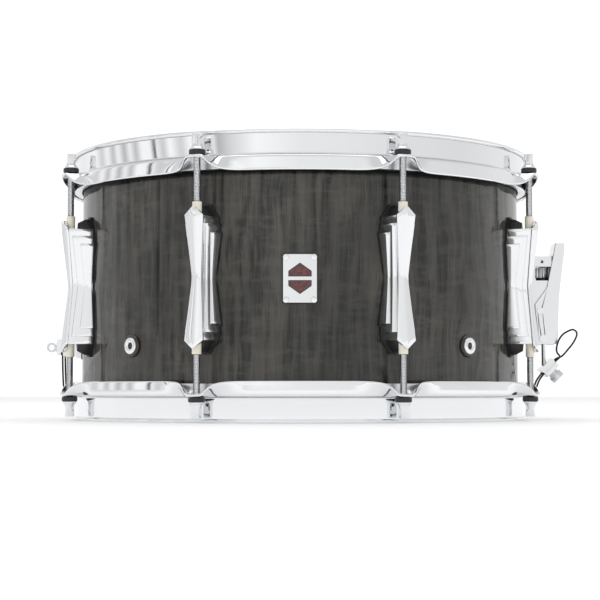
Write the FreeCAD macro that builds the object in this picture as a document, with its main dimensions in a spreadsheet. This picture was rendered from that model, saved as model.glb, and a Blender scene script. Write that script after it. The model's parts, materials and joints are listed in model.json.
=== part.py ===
"""Snare drum, 14 x 7.5 inches: a wood shell, two heads under triple-flange hoops, eight double-ended lugs,
a throw-off on the +X side, a butt plate on the -X side and twenty snare wires under the bottom head.

Millimetres. The axis of the drum is Z, the rim of the bottom hoop lies on z = 0, and the badge faces -Y.
"""

import FreeCAD, Part
import math
import os
import Sketcher

SIZES = {
    "lug_count": 8,
    "lug_turn": 22.5,
    "shell_radius": 177.8,
    "shell_depth": 190.5,
    "shell_wall": 7.2,
    "bearing_depth": 5.0,
    "bearing_peak": 2.2,
    "snare_bed_depth": 2.0,
    "snare_bed_radius": 500,
    "rim_height": 11.1,
    "film": 0.25,
    "film_radius": 180.0,
    "flesh_inner": 178.7,
    "flesh_outer": 184.8,
    "flesh_height": 7.6,
    "flesh_wall": 0.8,
    "hoop_inner": 181.7,
    "hoop_sheet": 2.3,
    "lip_radius": 187.0,
    "lip_height": 2.1,
    "flange_drop": 18.7,
    "skirt_radius": 188.0,
    "skirt_drop": 30.6,
    "ear_radius": 201.2,
    "ear_tip_half": 6.8,
    "ear_root_half": 16.0,
    "ear_gap_half": 9.0,
    "gate_half": 33.0,
    "gate_top": 17.6,
    "gate_bottom": 3.6,
    "rod_circle": 194.3,
    "rod_radius": 2.75,
    "rod_hole": 3.2,
    "rod_length": 50.6,
    "rod_flange_radius": 5.3,
    "rod_flange": 1.7,
    "rod_head": 10.0,
    "rod_square": 6.35,
    "washer_radius": 6.1,
    "washer_height": 3.6,
    "nut_radius": 3.45,
    "nut_bore": 2.81,
    "nut_far": 55.05,
    "nut_length": 17.0,
    "gasket": 1.0,
    "lug_middle": 104.65,
    "lug_ridge_end": 201.8,
    "lug_ridge_waist": 196.2,
    "lug_front": 205.0,
    "lug_plate_back": 198.0,
    "lug_tip": 51.35,
    "lug_shoulder": 45.3,
    "lug_end_half": 7.4,
    "lug_waist_half": 4.1,
    "lug_core": 45.0,
    "lug_facet": 15.0,
    "terrace_one_front": 193.0,
    "terrace_one_half": 39.85,
    "terrace_one_end": 9.1,
    "terrace_one_waist": 6.1,
    "terrace_two_front": 187.0,
    "terrace_two_half": 33.25,
    "terrace_two_end": 11.2,
    "terrace_two_waist": 7.6,
    "lug_base_front": 184.5,
    "lug_base_half": 6.8,
    "lug_base_waist": 3.5,
    "lug_base_shoulder": 44.0,
    "lug_base_tip": 53.2,
    "lug_root": 170.0,
    "lug_bore": 3.55,
    "screw_spread": 27.0,
    "screw_radius": 2.5,
    "screw_depth": 8.0,
    "screw_head_radius": 4.5,
    "screw_head": 3.0,
    "vent_drop": 49.4,
    "vent_bore": 2.45,
    "vent_tube": 3.6,
    "vent_eyelet": 6.45,
    "vent_ring": 8.65,
    "vent_ring_height": 2.2,
    "vent_lip": 1.2,
    "badge_half_width": 13.05,
    "badge_half_height": 18.45,
    "badge_corner": 2.4,
    "badge_drop": 2.0,
    "badge_plate": 1.1,
    "badge_screw_radius": 2.2,
    "badge_screw_height": 0.8,
    "inlay_half_width": 8.4,
    "inlay_half_height": 11.4,
    "inlay_side": 5.4,
    "inlay_clearance": 0.1,
    "beyond": 215.0,
    "mount_face": 182.5,
    "mount_root": 176.0,
    "mount_overlap": 182.0,
    "strainer_gasket_half": 14.0,
    "strainer_gasket_low": 57.0,
    "strainer_gasket_high": 139.0,
    "strainer_half": 13.2,
    "strainer_low": 58.0,
    "strainer_high": 138.0,
    "strainer_screw_low": 72.0,
    "strainer_screw_high": 127.0,
    "channel_back": 183.0,
    "channel_top": 110.0,
    "window_back": 192.5,
    "window_low": 113.6,
    "window_high": 125.0,
    "eye_x": 198.3,
    "eye_z": 129.0,
    "eye_radius": 1.3,
    "notch_half": 7.0,
    "notch_high": 78.0,
    "pivot_head": 3.3,
    "rivet_head": 2.8,
    "head_height": 0.9,
    "slide_clearance": 0.3,
    "slide_low": 76.0,
    "slide_high": 104.0,
    "slide_front": 204.0,
    "post_low": 44.4,
    "thread_depth": 3.1,
    "flute_radius": 1.5,
    "flute_depth": 0.9,
    "spindle_low": 90.0,
    "spindle_high": 129.5,
    "clamp_collar": 4.2,
    "clamp_collar_height": 3.0,
    "clamp_head": 5.6,
    "clamp_head_height": 5.0,
    "butt_gasket_half": 15.0,
    "butt_gasket_low": 49.0,
    "butt_gasket_high": 85.0,
    "butt_half": 14.0,
    "butt_low": 50.0,
    "butt_high": 84.0,
    "butt_screw_low": 58.0,
    "butt_screw_high": 76.0,
    "butt_block_half": 12.0,
    "butt_thread_back": 184.0,
    "butt_jaw": 3.4,
    "butt_jaw_half": 11.5,
    "butt_jaw_low": 52.5,
    "butt_jaw_high": 65.5,
    "butt_shank_back": 186.0,
    "butt_collar": 3.4,
    "butt_collar_height": 2.5,
    "butt_eye_reach": 5.8,
    "butt_eye_outer": 4.1,
    "butt_eye_inner": 2.2,
    "butt_eye_half": 1.3,
    "cheek_half": 11.0,
    "channel_half": 8.5,
    "lever_half": 13.3,
    "lever_inner": 11.3,
    "knob_x": 200.0,
    "knob_radius": 6.0,
    "knob_low": 116.3,
    "knob_high": 124.5,
    "spindle": 2.0,
    "spindle_bore": 2.05,
    "pivot_x": 198.8,
    "pivot_z": 65.8,
    "rivet_x": 196.3,
    "rivet_z": 88.4,
    "clamp_x": 204.0,
    "clamp_z": 42.4,
    "clamp_half": 6.7,
    "clamp_half_width": 11.0,
    "clamp_plate": 3.6,
    "cord_gap": 0.8,
    "post_x": 200.5,
    "post_radius": 1.7,
    "butt_face": 193.6,
    "butt_screw_z": 59.0,
    "cord_half": 8.0,
    "cord_radius": 0.75,
    "wire_count": 20,
    "wire_pitch": 2.1,
    "wire_radius": 0.8,
    "wire_z": 8.9,
    "wire_half": 160.0,
    "plate_inner": 148.0,
    "plate_outer": 163.0,
    "plate_half": 21.5,
    "plate_sheet": 0.8,
}

RIM = "(Dim.shell_depth + 2 * Dim.rim_height)"
MIDDLE = "(Dim.shell_depth / 2 + Dim.rim_height)"
INSIDE = "(Dim.shell_radius - Dim.shell_wall)"
SEAT = "(Dim.shell_radius + Dim.gasket)"

STRAINER_SIDE = (
    ("Dim.mount_root", "62"), ("205", "62"), ("205", "90"), ("203.5", "112"),
    ("206", "118"), ("206", "133.5"), ("Dim.mount_root", "133.5"),
)
LEVER_SIDE = (
    ("194.8", "61.5"), ("210.2", "61.5"), ("211.5", "98"), ("213", "112"), ("216.2", "137.5"),
    ("216.4", "144.3"), ("209", "144.3"), ("207.4", "135"), ("201.8", "107.8"), ("191.8", "93.9"),
)
LEVER_HOLLOW = (
    ("180", "50"), ("207.5", "50"), ("208.4", "98"), ("210", "112"), ("211.8", "130"), ("208.4", "134"),
    ("180", "134"),
)
BUTT_SIDE = (
    ("Dim.mount_root", "52"), ("Dim.butt_face", "52"), ("Dim.butt_face", "66"),
    ("190", "72"), ("184", "82"), ("Dim.mount_root", "82"),
)

V = FreeCAD.Vector
Z_AXIS = V(0, 0, 1)

doc = FreeCAD.newDocument("SnareDrum")
sheet = doc.addObject("Spreadsheet::Sheet", "Dim")
pieces = []


def fill_sheet():
    """Write the driving dimensions into the spreadsheet, one alias a row."""
    for row, (alias, number) in enumerate(SIZES.items(), start=1):
        sheet.set(f"A{row}", alias.replace("_", " "))
        sheet.set(f"B{row}", str(number))
        sheet.setAlias(f"B{row}", alias)
    doc.recompute()


def size(expression):
    """The number that an expression of sheet cells gives."""
    return float(sheet.evalExpression(str(expression)))


def keep(feature, label):
    """Mark a feature as a finished sub-part, under the name of its file."""
    feature.Label = label
    pieces.append(feature)
    return feature


def place(feature, x="0", y="0", z="0", axis=Z_AXIS, turn=0.0):
    """Turn a feature about an axis through its origin, then move it to a point given by expressions."""
    feature.Placement = FreeCAD.Placement(V(0, 0, 0), FreeCAD.Rotation(axis, turn))
    for letter, expression in (("x", x), ("y", y), ("z", z)):
        feature.setExpression(f"Placement.Base.{letter}", expression)
    return feature


def new_body(name):
    return doc.addObject("PartDesign::Body", name)


def origin_part(body, role):
    return next(item for item in body.Origin.OriginFeatures if item.Role == role)


def sketch_on(body, role, away="0", turn_axis=Z_AXIS, turn=0.0):
    """An empty sketch on an origin plane of the body, moved out along its normal and turned."""
    sketch = body.newObject("Sketcher::SketchObject", body.Name + "_sketch")
    sketch.AttachmentSupport = (origin_part(body, role), [""])
    sketch.MapMode = "FlatFace"
    sketch.AttachmentOffset = FreeCAD.Placement(V(0, 0, 0), FreeCAD.Rotation(turn_axis, turn))
    sketch.setExpression("AttachmentOffset.Base.z", away)
    return sketch


def pin_point(sketch, edge, end, x, y):
    """Hold one end of a sketch edge at a place given by two expressions."""
    for kind, expression in (("DistanceX", x), ("DistanceY", y)):
        row = sketch.addConstraint(Sketcher.Constraint(kind, -1, 1, edge, end, size(expression)))
        sketch.setExpression(f"Constraints[{row}]", str(expression))


def polygon(sketch, corners):
    """A closed outline of straight edges through corners given as pairs of expressions."""
    first = sketch.GeometryCount
    spots = [V(size(x), size(y), 0) for x, y in corners]
    count = len(spots)
    for index, spot in enumerate(spots):
        sketch.addGeometry(Part.LineSegment(spot, spots[(index + 1) % count]), False)
    for index, (x, y) in enumerate(corners):
        following = first + (index + 1) % count
        sketch.addConstraint(Sketcher.Constraint("Coincident", first + index, 2, following, 1))
        pin_point(sketch, first + index, 1, x, y)
    return sketch


def rectangle(sketch, x0, x1, y0, y1):
    return polygon(sketch, [(x0, y0), (x1, y0), (x1, y1), (x0, y1)])


def circle(sketch, x, y, radius):
    """A circle whose centre and radius are expressions."""
    edge = sketch.addGeometry(Part.Circle(V(size(x), size(y), 0), V(0, 0, 1), size(radius)), False)
    pin_point(sketch, edge, 3, x, y)
    row = sketch.addConstraint(Sketcher.Constraint("Radius", edge, size(radius)))
    sketch.setExpression(f"Constraints[{row}]", str(radius))
    return sketch


def pad(body, sketch, length, both=False):
    """Add material along the sketch's normal, or as much each way from the sketch."""
    feature = body.newObject("PartDesign::Pad", body.Name + "_pad")
    feature.Profile = sketch
    feature.setExpression("Length", length)
    feature.Midplane = both
    return feature


def pocket(body, sketch, length, reverse=False, both=False):
    """Remove material along a sketch's normal and make sure that something was removed."""
    doc.recompute()
    before = body.Shape.Volume
    feature = body.newObject("PartDesign::Pocket", body.Name + "_pocket")
    feature.Profile = sketch
    feature.setExpression("Length", length)
    feature.Reversed = reverse
    feature.Midplane = both
    doc.recompute()
    if feature.Shape.Volume > before - 0.01:
        raise RuntimeError(f"{feature.Name} removes nothing")
    return feature


def turned(body, sketch, kind="Revolution", axis="V_Axis"):
    """A full turn of the sketch about one of its own axes, added or (as a Groove) removed."""
    feature = body.newObject("PartDesign::" + kind, body.Name + "_" + kind.lower())
    feature.Profile = sketch
    feature.ReferenceAxis = (sketch, [axis])
    feature.Angle = 360
    return feature


def around(body, originals, count="Dim.lug_count", angle=360):
    """Repeat features about the drum's axis."""
    doc.recompute()
    feature = body.newObject("PartDesign::PolarPattern", body.Name + "_pattern")
    feature.Originals = originals
    feature.Axis = (origin_part(body, "Z_Axis"), [""])
    feature.Angle = angle
    feature.setExpression("Occurrences", count)
    body.Tip = feature
    doc.recompute()
    return feature


def between_radii(body, inner, outer, half_height):
    """Keep only what lies between two cylinders about the drum's axis."""
    low = f"-({half_height})"
    core = rectangle(sketch_on(body, "XZ_Plane"), "0", inner, low, half_height)
    turned(body, core, "Groove")
    if outer:
        skin = rectangle(sketch_on(body, "XZ_Plane"), outer, f"{outer} + 60", low, half_height)
        turned(body, skin, "Groove")


def cylinder(name, radius, height, x="0", y="0", z="0", axis=Z_AXIS, turn=0.0):
    feature = doc.addObject("Part::Cylinder", name)
    feature.setExpression("Radius", radius)
    feature.setExpression("Height", height)
    return place(feature, x, y, z, axis, turn)


def fused(name, shapes):
    feature = doc.addObject("Part::MultiFuse", name)
    feature.Shapes = shapes
    return feature


def cut(name, base, tool):
    feature = doc.addObject("Part::Cut", name)
    feature.Base = base
    feature.Tool = tool
    return feature


def copy_of(name, source, turn=0.0, z="0", axis=Z_AXIS, flipped=False):
    """A placed copy of a source body, which may be turned upside down first."""
    feature = doc.addObject("Part::Compound", name)
    feature.Links = [source]
    half_turn = FreeCAD.Rotation(V(1, 0, 0), 180 if flipped else 0)
    rotation = FreeCAD.Rotation(axis, turn).multiply(half_turn)
    feature.Placement = FreeCAD.Placement(V(0, 0, 0), rotation)
    feature.setExpression("Placement.Base.z", z)
    return keep(feature, name)


def lug_angles():
    """The angle of each lug about the axis, in degrees from +X."""
    step = 360.0 / size("Dim.lug_count")
    return [size("Dim.lug_turn") + step * index for index in range(int(size("Dim.lug_count")))]


def make_shell():
    """Wood shell: a turned ring with bearing edges, bored for vents and screws, with two snare beds."""
    body = new_body("shell_ring")
    low = "Dim.rim_height"
    high = f"{RIM} - Dim.rim_height"
    peak = "Dim.shell_radius - Dim.bearing_peak"
    turned(body, polygon(sketch_on(body, "XZ_Plane"), [
        (INSIDE, f"{low} + Dim.bearing_depth"),
        (peak, low),
        ("Dim.shell_radius", f"{low} + Dim.bearing_peak"),
        ("Dim.shell_radius", f"{high} - Dim.bearing_peak"),
        (peak, high),
        (INSIDE, f"{high} - Dim.bearing_depth"),
    ]))
    bores = []
    radial = dict(axis=V(0, 1, 0), turn=90)
    for index, angle in enumerate(lug_angles()):
        for side in ("-", "+"):
            level = f"Dim.lug_middle {side} Dim.screw_spread"
            name = f"lug_bore_{index}{'ab'[side == '+']}"
            bores.append(radial_bore(name, angle, level, "Dim.screw_radius"))
    vent_level = f"{MIDDLE} - Dim.vent_drop"
    for name, angle in (("right", -45), ("left", -135)):
        bores.append(radial_bore(f"vent_bore_{name}", angle, vent_level, "Dim.vent_tube + 0.1"))
    for side, angle, levels in (("throwoff", 0, ("72", "127")), ("butt", 180, ("58", "76"))):
        for level in levels:
            bores.append(radial_bore(f"{side}_bore_{level}", angle, level, "Dim.screw_radius"))
    bed_z = "Dim.rim_height + Dim.snare_bed_depth - Dim.snare_bed_radius"
    bores.append(cylinder("snare_bed", "Dim.snare_bed_radius", "500", x="-250", z=bed_z, **radial))
    keep(cut("shell", body, fused("shell_bores", bores)), "shell")


def radial_bore(name, angle, level, radius):
    """A cylinder that crosses the shell's wall on a radius of the drum, with room for what fills it."""
    start = size(f"{INSIDE} - 10")
    feature = doc.addObject("Part::Cylinder", name)
    feature.setExpression("Radius", f"{radius} + 0.1")
    feature.Height = 30
    about_z = FreeCAD.Rotation(Z_AXIS, angle)
    rotation = about_z.multiply(FreeCAD.Rotation(V(0, 1, 0), 90))
    feature.Placement = FreeCAD.Placement(about_z.multVec(V(start, 0, 0)), rotation)
    feature.setExpression("Placement.Base.z", level)
    return feature


def make_head(name, channel_name, edge, inward):
    """A film stretched over a bearing edge and glued into an aluminium channel around the shell.

    edge is the height of the film's inner face; inward is "-" when the drum lies below it, "+" above it.
    """
    outward = "+" if inward == "-" else "-"
    top = f"({edge} {inward} (Dim.flange_drop + Dim.hoop_sheet - Dim.rim_height))"
    foot = f"({top} {inward} Dim.flesh_height)"
    floor = f"({foot} {outward} Dim.flesh_wall)"
    film = new_body(name + "_film")
    turned(film, polygon(sketch_on(film, "XZ_Plane"), [
        ("0", edge),
        ("Dim.shell_radius - Dim.bearing_peak", edge),
        ("Dim.shell_radius + 0.1", f"{edge} {inward} (Dim.bearing_peak + 0.1)"),
        ("Dim.film_radius", f"{top} {outward} 2"),
        ("Dim.film_radius", f"{top} {inward} 2"),
        ("Dim.flesh_inner + Dim.flesh_wall", f"{top} {inward} 2"),
        ("Dim.flesh_inner + Dim.flesh_wall", floor),
        ("Dim.flesh_outer - Dim.flesh_wall", floor),
        ("Dim.flesh_outer - Dim.flesh_wall", f"{top} {inward} 2"),
        ("Dim.film_radius + 0.4", f"{top} {inward} 2"),
        ("Dim.film_radius + 0.4", f"{top} {outward} 2.2"),
        ("Dim.shell_radius + 0.4", f"{edge} {inward} (Dim.bearing_peak - 0.2)"),
        ("Dim.shell_radius - Dim.bearing_peak + 0.1", f"{edge} {outward} Dim.film"),
        ("0", f"{edge} {outward} Dim.film"),
    ]))
    keep(film, name)
    channel = new_body(channel_name + "_ring")
    turned(channel, polygon(sketch_on(channel, "XZ_Plane"), [
        ("Dim.flesh_inner", top),
        ("Dim.flesh_inner", foot),
        ("Dim.flesh_outer", foot),
        ("Dim.flesh_outer", top),
        ("Dim.flesh_outer - Dim.flesh_wall", top),
        ("Dim.flesh_outer - Dim.flesh_wall", floor),
        ("Dim.flesh_inner + Dim.flesh_wall", floor),
        ("Dim.flesh_inner + Dim.flesh_wall", top),
    ]))
    keep(channel, channel_name)


def make_hoop(name, gated):
    """Triple-flange steel hoop, its rim on z = 0 and its skirt hanging below, with one ear for each rod."""
    body = new_body(name + "_steel")
    outer = "Dim.hoop_inner + Dim.hoop_sheet"
    under = "-(Dim.flange_drop + Dim.hoop_sheet)"
    skirt_inner = "Dim.skirt_radius - Dim.hoop_sheet"
    turned(body, polygon(sketch_on(body, "XZ_Plane"), [
        ("Dim.hoop_inner", "0"),
        ("Dim.lip_radius", "0"),
        ("Dim.lip_radius", "-Dim.lip_height"),
        (outer, "-Dim.lip_height"),
        (outer, "-Dim.flange_drop"),
        ("Dim.skirt_radius", "-Dim.flange_drop"),
        ("Dim.skirt_radius", "-Dim.skirt_drop"),
        (skirt_inner, "-Dim.skirt_drop"),
        (skirt_inner, under),
        ("Dim.hoop_inner", under),
    ]))
    turn = size("Dim.lug_turn")
    gap = rectangle(sketch_on(body, "XY_Plane", under, turn=turn),
                    f"{skirt_inner} - 2", "Dim.skirt_radius + 2", "-Dim.ear_gap_half", "Dim.ear_gap_half")
    around(body, [pocket(body, gap, "Dim.skirt_drop")])
    ear = polygon(sketch_on(body, "XY_Plane", under, turn=turn), [
        (skirt_inner, "-Dim.ear_root_half"),
        ("Dim.ear_radius", "-Dim.ear_tip_half"),
        ("Dim.ear_radius", "Dim.ear_tip_half"),
        (skirt_inner, "Dim.ear_root_half"),
    ])
    around(body, [pad(body, ear, "Dim.hoop_sheet")])
    hole = circle(sketch_on(body, "XY_Plane", "0", turn=turn), "Dim.rod_circle", "0", "Dim.rod_hole")
    around(body, [pocket(body, hole, "Dim.skirt_drop")])
    if gated:
        gate = rectangle(sketch_on(body, "YZ_Plane"), "-Dim.gate_half", "Dim.gate_half",
                         "-Dim.gate_top", "-Dim.gate_bottom")
        pocket(body, gate, "Dim.lip_radius * 2 + 20", both=True)
    return body


def make_rod():
    """Square-headed tension rod, the underside of its flange on z = 0 and its shank below."""
    body = new_body("rod_master")
    turned(body, polygon(sketch_on(body, "XZ_Plane"), [
        ("0", "-Dim.rod_length"),
        ("Dim.rod_radius - 1", "-Dim.rod_length"),
        ("Dim.rod_radius", "-Dim.rod_length + 1"),
        ("Dim.rod_radius", "0"),
        ("Dim.rod_flange_radius", "0"),
        ("Dim.rod_flange_radius", "Dim.rod_flange - 0.5"),
        ("Dim.rod_flange_radius - 0.5", "Dim.rod_flange"),
        ("0", "Dim.rod_flange"),
    ]))
    half = "Dim.rod_square / 2"
    head = rectangle(sketch_on(body, "XY_Plane", "Dim.rod_flange"), f"-{half}", half, f"-{half}", half)
    pad(body, head, "Dim.rod_head")
    return body


def make_rods():
    """Eight rods down through the top hoop and eight up through the bottom one."""
    master = make_rod()
    seat = "(Dim.flange_drop - Dim.washer_height)"
    radius = size("Dim.rod_circle")
    for number, angle in enumerate(lug_angles(), start=1):
        arm = FreeCAD.Rotation(Z_AXIS, angle).multVec(V(radius, 0, 0))
        for side, level, flipped in (("top", f"{RIM} - {seat}", False), ("bottom", seat, True)):
            rod = copy_of(f"tension_rod_{side}_{number}", master, angle, level, flipped=flipped)
            rod.Placement.Base.x = arm.x
            rod.Placement.Base.y = arm.y


def ring_group(name, outer, bore, level, height):
    """One tube on the rod circle for each lug: washers or nut sleeves."""
    body = new_body(name + "_group")
    sketch = sketch_on(body, "XY_Plane", level, turn=size("Dim.lug_turn"))
    circle(sketch, "Dim.rod_circle", "0", outer)
    circle(sketch, "Dim.rod_circle", "0", bore)
    around(body, [pad(body, sketch, height)])
    return keep(body, name)


def hourglass(sketch, half_height, end_half, waist_half, tip=None):
    """A waisted outline in the tangent plane; a tip adds a point above and below."""
    right = [(end_half, f"-{half_height}"), (waist_half, "0"), (end_half, half_height)]
    left = [(f"-{x}", y) for x, y in reversed(right)]
    top = [("0", tip)] if tip else []
    bottom = [("0", f"-{tip}")] if tip else []
    return polygon(sketch, right + top + left + bottom)


def recess(body, side):
    """Cut one facet of the front: a hollow that is shallow at the ends and deep at the waist."""
    turn = side * size("Dim.lug_facet")
    sketch = sketch_on(body, "XZ_Plane", turn_axis=V(0, 1, 0), turn=turn)
    sketch.setExpression("AttachmentOffset.Base.x", "Dim.lug_ridge_waist")
    depth = size("Dim.lug_ridge_end - Dim.lug_ridge_waist")
    tip = size("Dim.lug_tip")
    far = 20.0
    low, middle, high = V(depth, -tip, 0), V(0, 0, 0), V(depth, tip, 0)
    edge = tip + far
    corners = [high, V(depth, edge, 0), V(far, edge, 0), V(far, -edge, 0), V(depth, -edge, 0), low]
    sketch.addGeometry(Part.Arc(low, middle, high), False)
    for start, end in zip(corners, corners[1:]):
        sketch.addGeometry(Part.LineSegment(start, end), False)
    return pocket(body, sketch, "80", both=True)


def make_lug():
    """Double-ended lug at azimuth 0, its middle on z = 0: base, waisted terraces and a ridged front."""
    body = new_body("lug_master")
    root = "Dim.lug_root"
    layers = (
        ("Dim.terrace_two_half", "Dim.terrace_two_end", "Dim.terrace_two_waist", "Dim.terrace_two_front"),
        ("Dim.terrace_one_half", "Dim.terrace_one_end", "Dim.terrace_one_waist", "Dim.terrace_one_front"),
        ("Dim.lug_core", "Dim.lug_end_half", "Dim.lug_waist_half", "Dim.lug_front"),
    )
    for half_height, end_half, waist_half, front in layers:
        outline = hourglass(sketch_on(body, "YZ_Plane", root), half_height, end_half, waist_half)
        pad(body, outline, f"{front} - {root}")
    base = hourglass(sketch_on(body, "YZ_Plane", root),
                     "Dim.lug_base_shoulder", "Dim.lug_base_half", "Dim.lug_base_waist", "Dim.lug_base_tip")
    pad(body, base, f"Dim.lug_base_front - {root}")
    front = hourglass(sketch_on(body, "YZ_Plane", "Dim.lug_plate_back"),
                      "Dim.lug_shoulder", "Dim.lug_end_half", "Dim.lug_waist_half", "Dim.lug_tip")
    pad(body, front, "Dim.lug_front - Dim.lug_plate_back")
    recess(body, 1)
    recess(body, -1)
    for side, reverse in (("-", False), ("", True)):
        level = f"{side}Dim.lug_tip"
        bore = circle(sketch_on(body, "XY_Plane", level), "Dim.rod_circle", "0", "Dim.lug_bore")
        pocket(body, bore, "Dim.lug_tip + Dim.nut_length - Dim.nut_far + 0.2", reverse=not reverse)
    screws = sketch_on(body, "YZ_Plane", root)
    circle(screws, "0", "Dim.screw_spread", "Dim.screw_radius + 0.1")
    circle(screws, "0", "-Dim.screw_spread", "Dim.screw_radius + 0.1")
    pocket(body, screws, f"{SEAT} - {root} + Dim.screw_depth + 0.3", reverse=True)
    between_radii(body, SEAT, None, "60")
    return body


def make_lugs():
    master = make_lug()
    for number, angle in enumerate(lug_angles(), start=1):
        copy_of(f"lug_{number}", master, angle, "Dim.lug_middle")


def make_lug_gaskets():
    """Thin sheets between the lugs and the shell, a little wider than the lugs' feet."""
    body = new_body("lug_gasket_group")
    outline = sketch_on(body, "YZ_Plane", "Dim.lug_root")
    hourglass(outline, "(Dim.lug_base_shoulder + 1)", "(Dim.terrace_two_end + 1.5)",
              "(Dim.terrace_two_waist + 1.5)", "(Dim.lug_base_tip + 1.5)")
    for side in ("", "-"):
        circle(outline, "0", f"{side}Dim.screw_spread", "Dim.screw_radius + 0.1")
    around(body, [pad(body, outline, "20")])
    between_radii(body, "Dim.shell_radius", SEAT, "60")
    keep(place(body, z="Dim.lug_middle", turn=size("Dim.lug_turn")), "lug_gaskets")


def screw_group(body, spots, reach):
    """Pan-headed screws from inside the shell, pointing outwards from the shell's inner wall."""
    shanks = sketch_on(body, "YZ_Plane", f"{INSIDE} - 1")
    heads = sketch_on(body, "YZ_Plane", f"{INSIDE} - 1 - Dim.screw_head")
    for y, z in spots:
        circle(shanks, y, z, "Dim.screw_radius")
        circle(heads, y, z, "Dim.screw_head_radius")
    return [pad(body, heads, "Dim.screw_head"), pad(body, shanks, f"{reach} - {INSIDE} + 1")]


def make_lug_screws():
    body = new_body("lug_screw_group")
    spots = [("0", "Dim.screw_spread"), ("0", "-Dim.screw_spread")]
    around(body, screw_group(body, spots, f"({SEAT} + Dim.screw_depth)"))
    keep(place(body, z="Dim.lug_middle", turn=size("Dim.lug_turn")), "lug_screws")


def make_mount_screws():
    """Two screws that hold the throw-off and two that hold the butt plate."""
    shapes = []
    for side, turn, levels in (("throwoff", 0, ("72", "127")), ("butt", 180, ("58", "76"))):
        body = new_body(side + "_screw_group")
        screw_group(body, [("0", level) for level in levels], f"({SEAT} + 2.8)")
        shapes.append(place(body, turn=turn))
    group = doc.addObject("Part::Compound", "mount_screws")
    group.Links = shapes
    keep(group, "mount_screws")


def make_vents():
    """Two air vents: a dark ring on the shell and a bright eyelet through it."""
    ring = new_body("vent_ring_group")
    face = "Dim.shell_radius + Dim.vent_ring_height"
    turn = dict(angle=90, count="2")
    outline = circle(sketch_on(ring, "YZ_Plane", "Dim.lug_root"), "0", "0", "Dim.vent_ring")
    circle(outline, "0", "0", "Dim.vent_tube + 0.1")
    around(ring, [pad(ring, outline, f"{face} - Dim.lug_root")], **turn)
    between_radii(ring, "Dim.shell_radius", None, "20")
    keep(place(ring, z=f"{MIDDLE} - Dim.vent_drop", turn=-135), "vent_rings")
    eyelet = new_body("vent_eyelet_group")
    profile = polygon(sketch_on(eyelet, "XZ_Plane"), [
        (f"{INSIDE} - 2", "Dim.vent_bore"),
        (f"{face} + Dim.vent_lip", "Dim.vent_bore"),
        (f"{face} + Dim.vent_lip", "Dim.vent_eyelet - 0.8"),
        (f"{face} + Dim.vent_lip - 0.6", "Dim.vent_eyelet"),
        (face, "Dim.vent_eyelet"),
        (face, "Dim.vent_tube"),
        (f"{INSIDE} - 0.6", "Dim.vent_tube"),
        (f"{INSIDE} - 0.6", "Dim.vent_eyelet"),
        (f"{INSIDE} - 2", "Dim.vent_eyelet"),
    ])
    around(eyelet, [turned(eyelet, profile, axis="H_Axis")], **turn)
    keep(place(eyelet, z=f"{MIDDLE} - Dim.vent_drop", turn=-135), "vent_eyelets")


def hexagon(sketch, clearance):
    """The six-sided window of the badge, or the inlay that fills it."""
    wide = f"(Dim.inlay_half_width - {clearance})"
    side = f"(Dim.inlay_side - {clearance})"
    tall = f"(Dim.inlay_half_height - {clearance})"
    return polygon(sketch, [
        (wide, f"-{side}"), (wide, side), ("0", tall),
        (f"-{wide}", side), (f"-{wide}", f"-{side}"), ("0", f"-{tall}"),
    ])


def make_badge():
    """Curved badge plate, the enamel in its window and four corner screws."""
    level = f"{MIDDLE} - Dim.badge_drop"
    wide, tall, corner = "Dim.badge_half_width", "Dim.badge_half_height", "Dim.badge_corner"
    plate = new_body("badge_plate_sheet")
    outline = polygon(sketch_on(plate, "YZ_Plane", "Dim.lug_root"), [
        (wide, f"-{tall} + {corner}"), (wide, f"{tall} - {corner}"),
        (f"{wide} - {corner}", tall), (f"-{wide} + {corner}", tall),
        (f"-{wide}", f"{tall} - {corner}"), (f"-{wide}", f"-{tall} + {corner}"),
        (f"-{wide} + {corner}", f"-{tall}"), (f"{wide} - {corner}", f"-{tall}"),
    ])
    hexagon(outline, "0")
    pad(plate, outline, "20")
    between_radii(plate, "Dim.shell_radius", "(Dim.shell_radius + Dim.badge_plate)", "30")
    keep(place(plate, z=level, turn=-90), "badge_plate")
    inlay = new_body("badge_inlay_enamel")
    pad(inlay, hexagon(sketch_on(inlay, "YZ_Plane", "Dim.lug_root"), "Dim.inlay_clearance"), "20")
    between_radii(inlay, "Dim.shell_radius", "(Dim.shell_radius + Dim.badge_plate - 0.1)", "30")
    keep(place(inlay, z=level, turn=-90), "badge_inlay")
    screws = new_body("badge_screw_group")
    heads = sketch_on(screws, "YZ_Plane", "Dim.lug_root")
    for x in ("", "-"):
        for y in ("", "-"):
            circle(heads, f"{x}({wide} - 3)", f"{y}({tall} - 3)", "Dim.badge_screw_radius")
    face = "(Dim.shell_radius + Dim.badge_plate)"
    pad(screws, heads, f"{face} + Dim.badge_screw_height - Dim.lug_root")
    between_radii(screws, face, None, "30")
    keep(place(screws, z=level, turn=-90), "badge_screws")


def make_throwoff_gasket():
    body = new_body("throwoff_gasket_sheet")
    outline = rectangle(sketch_on(body, "YZ_Plane", "Dim.lug_root"), "-Dim.strainer_gasket_half",
                        "Dim.strainer_gasket_half", "Dim.strainer_gasket_low", "Dim.strainer_gasket_high")
    for level in ("Dim.strainer_screw_low", "Dim.strainer_screw_high"):
        circle(outline, "0", level, "Dim.screw_radius + 0.1")
    pad(body, outline, "20")
    between_radii(body, "Dim.shell_radius", SEAT, "200")
    keep(body, "throwoff_gasket")


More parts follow.
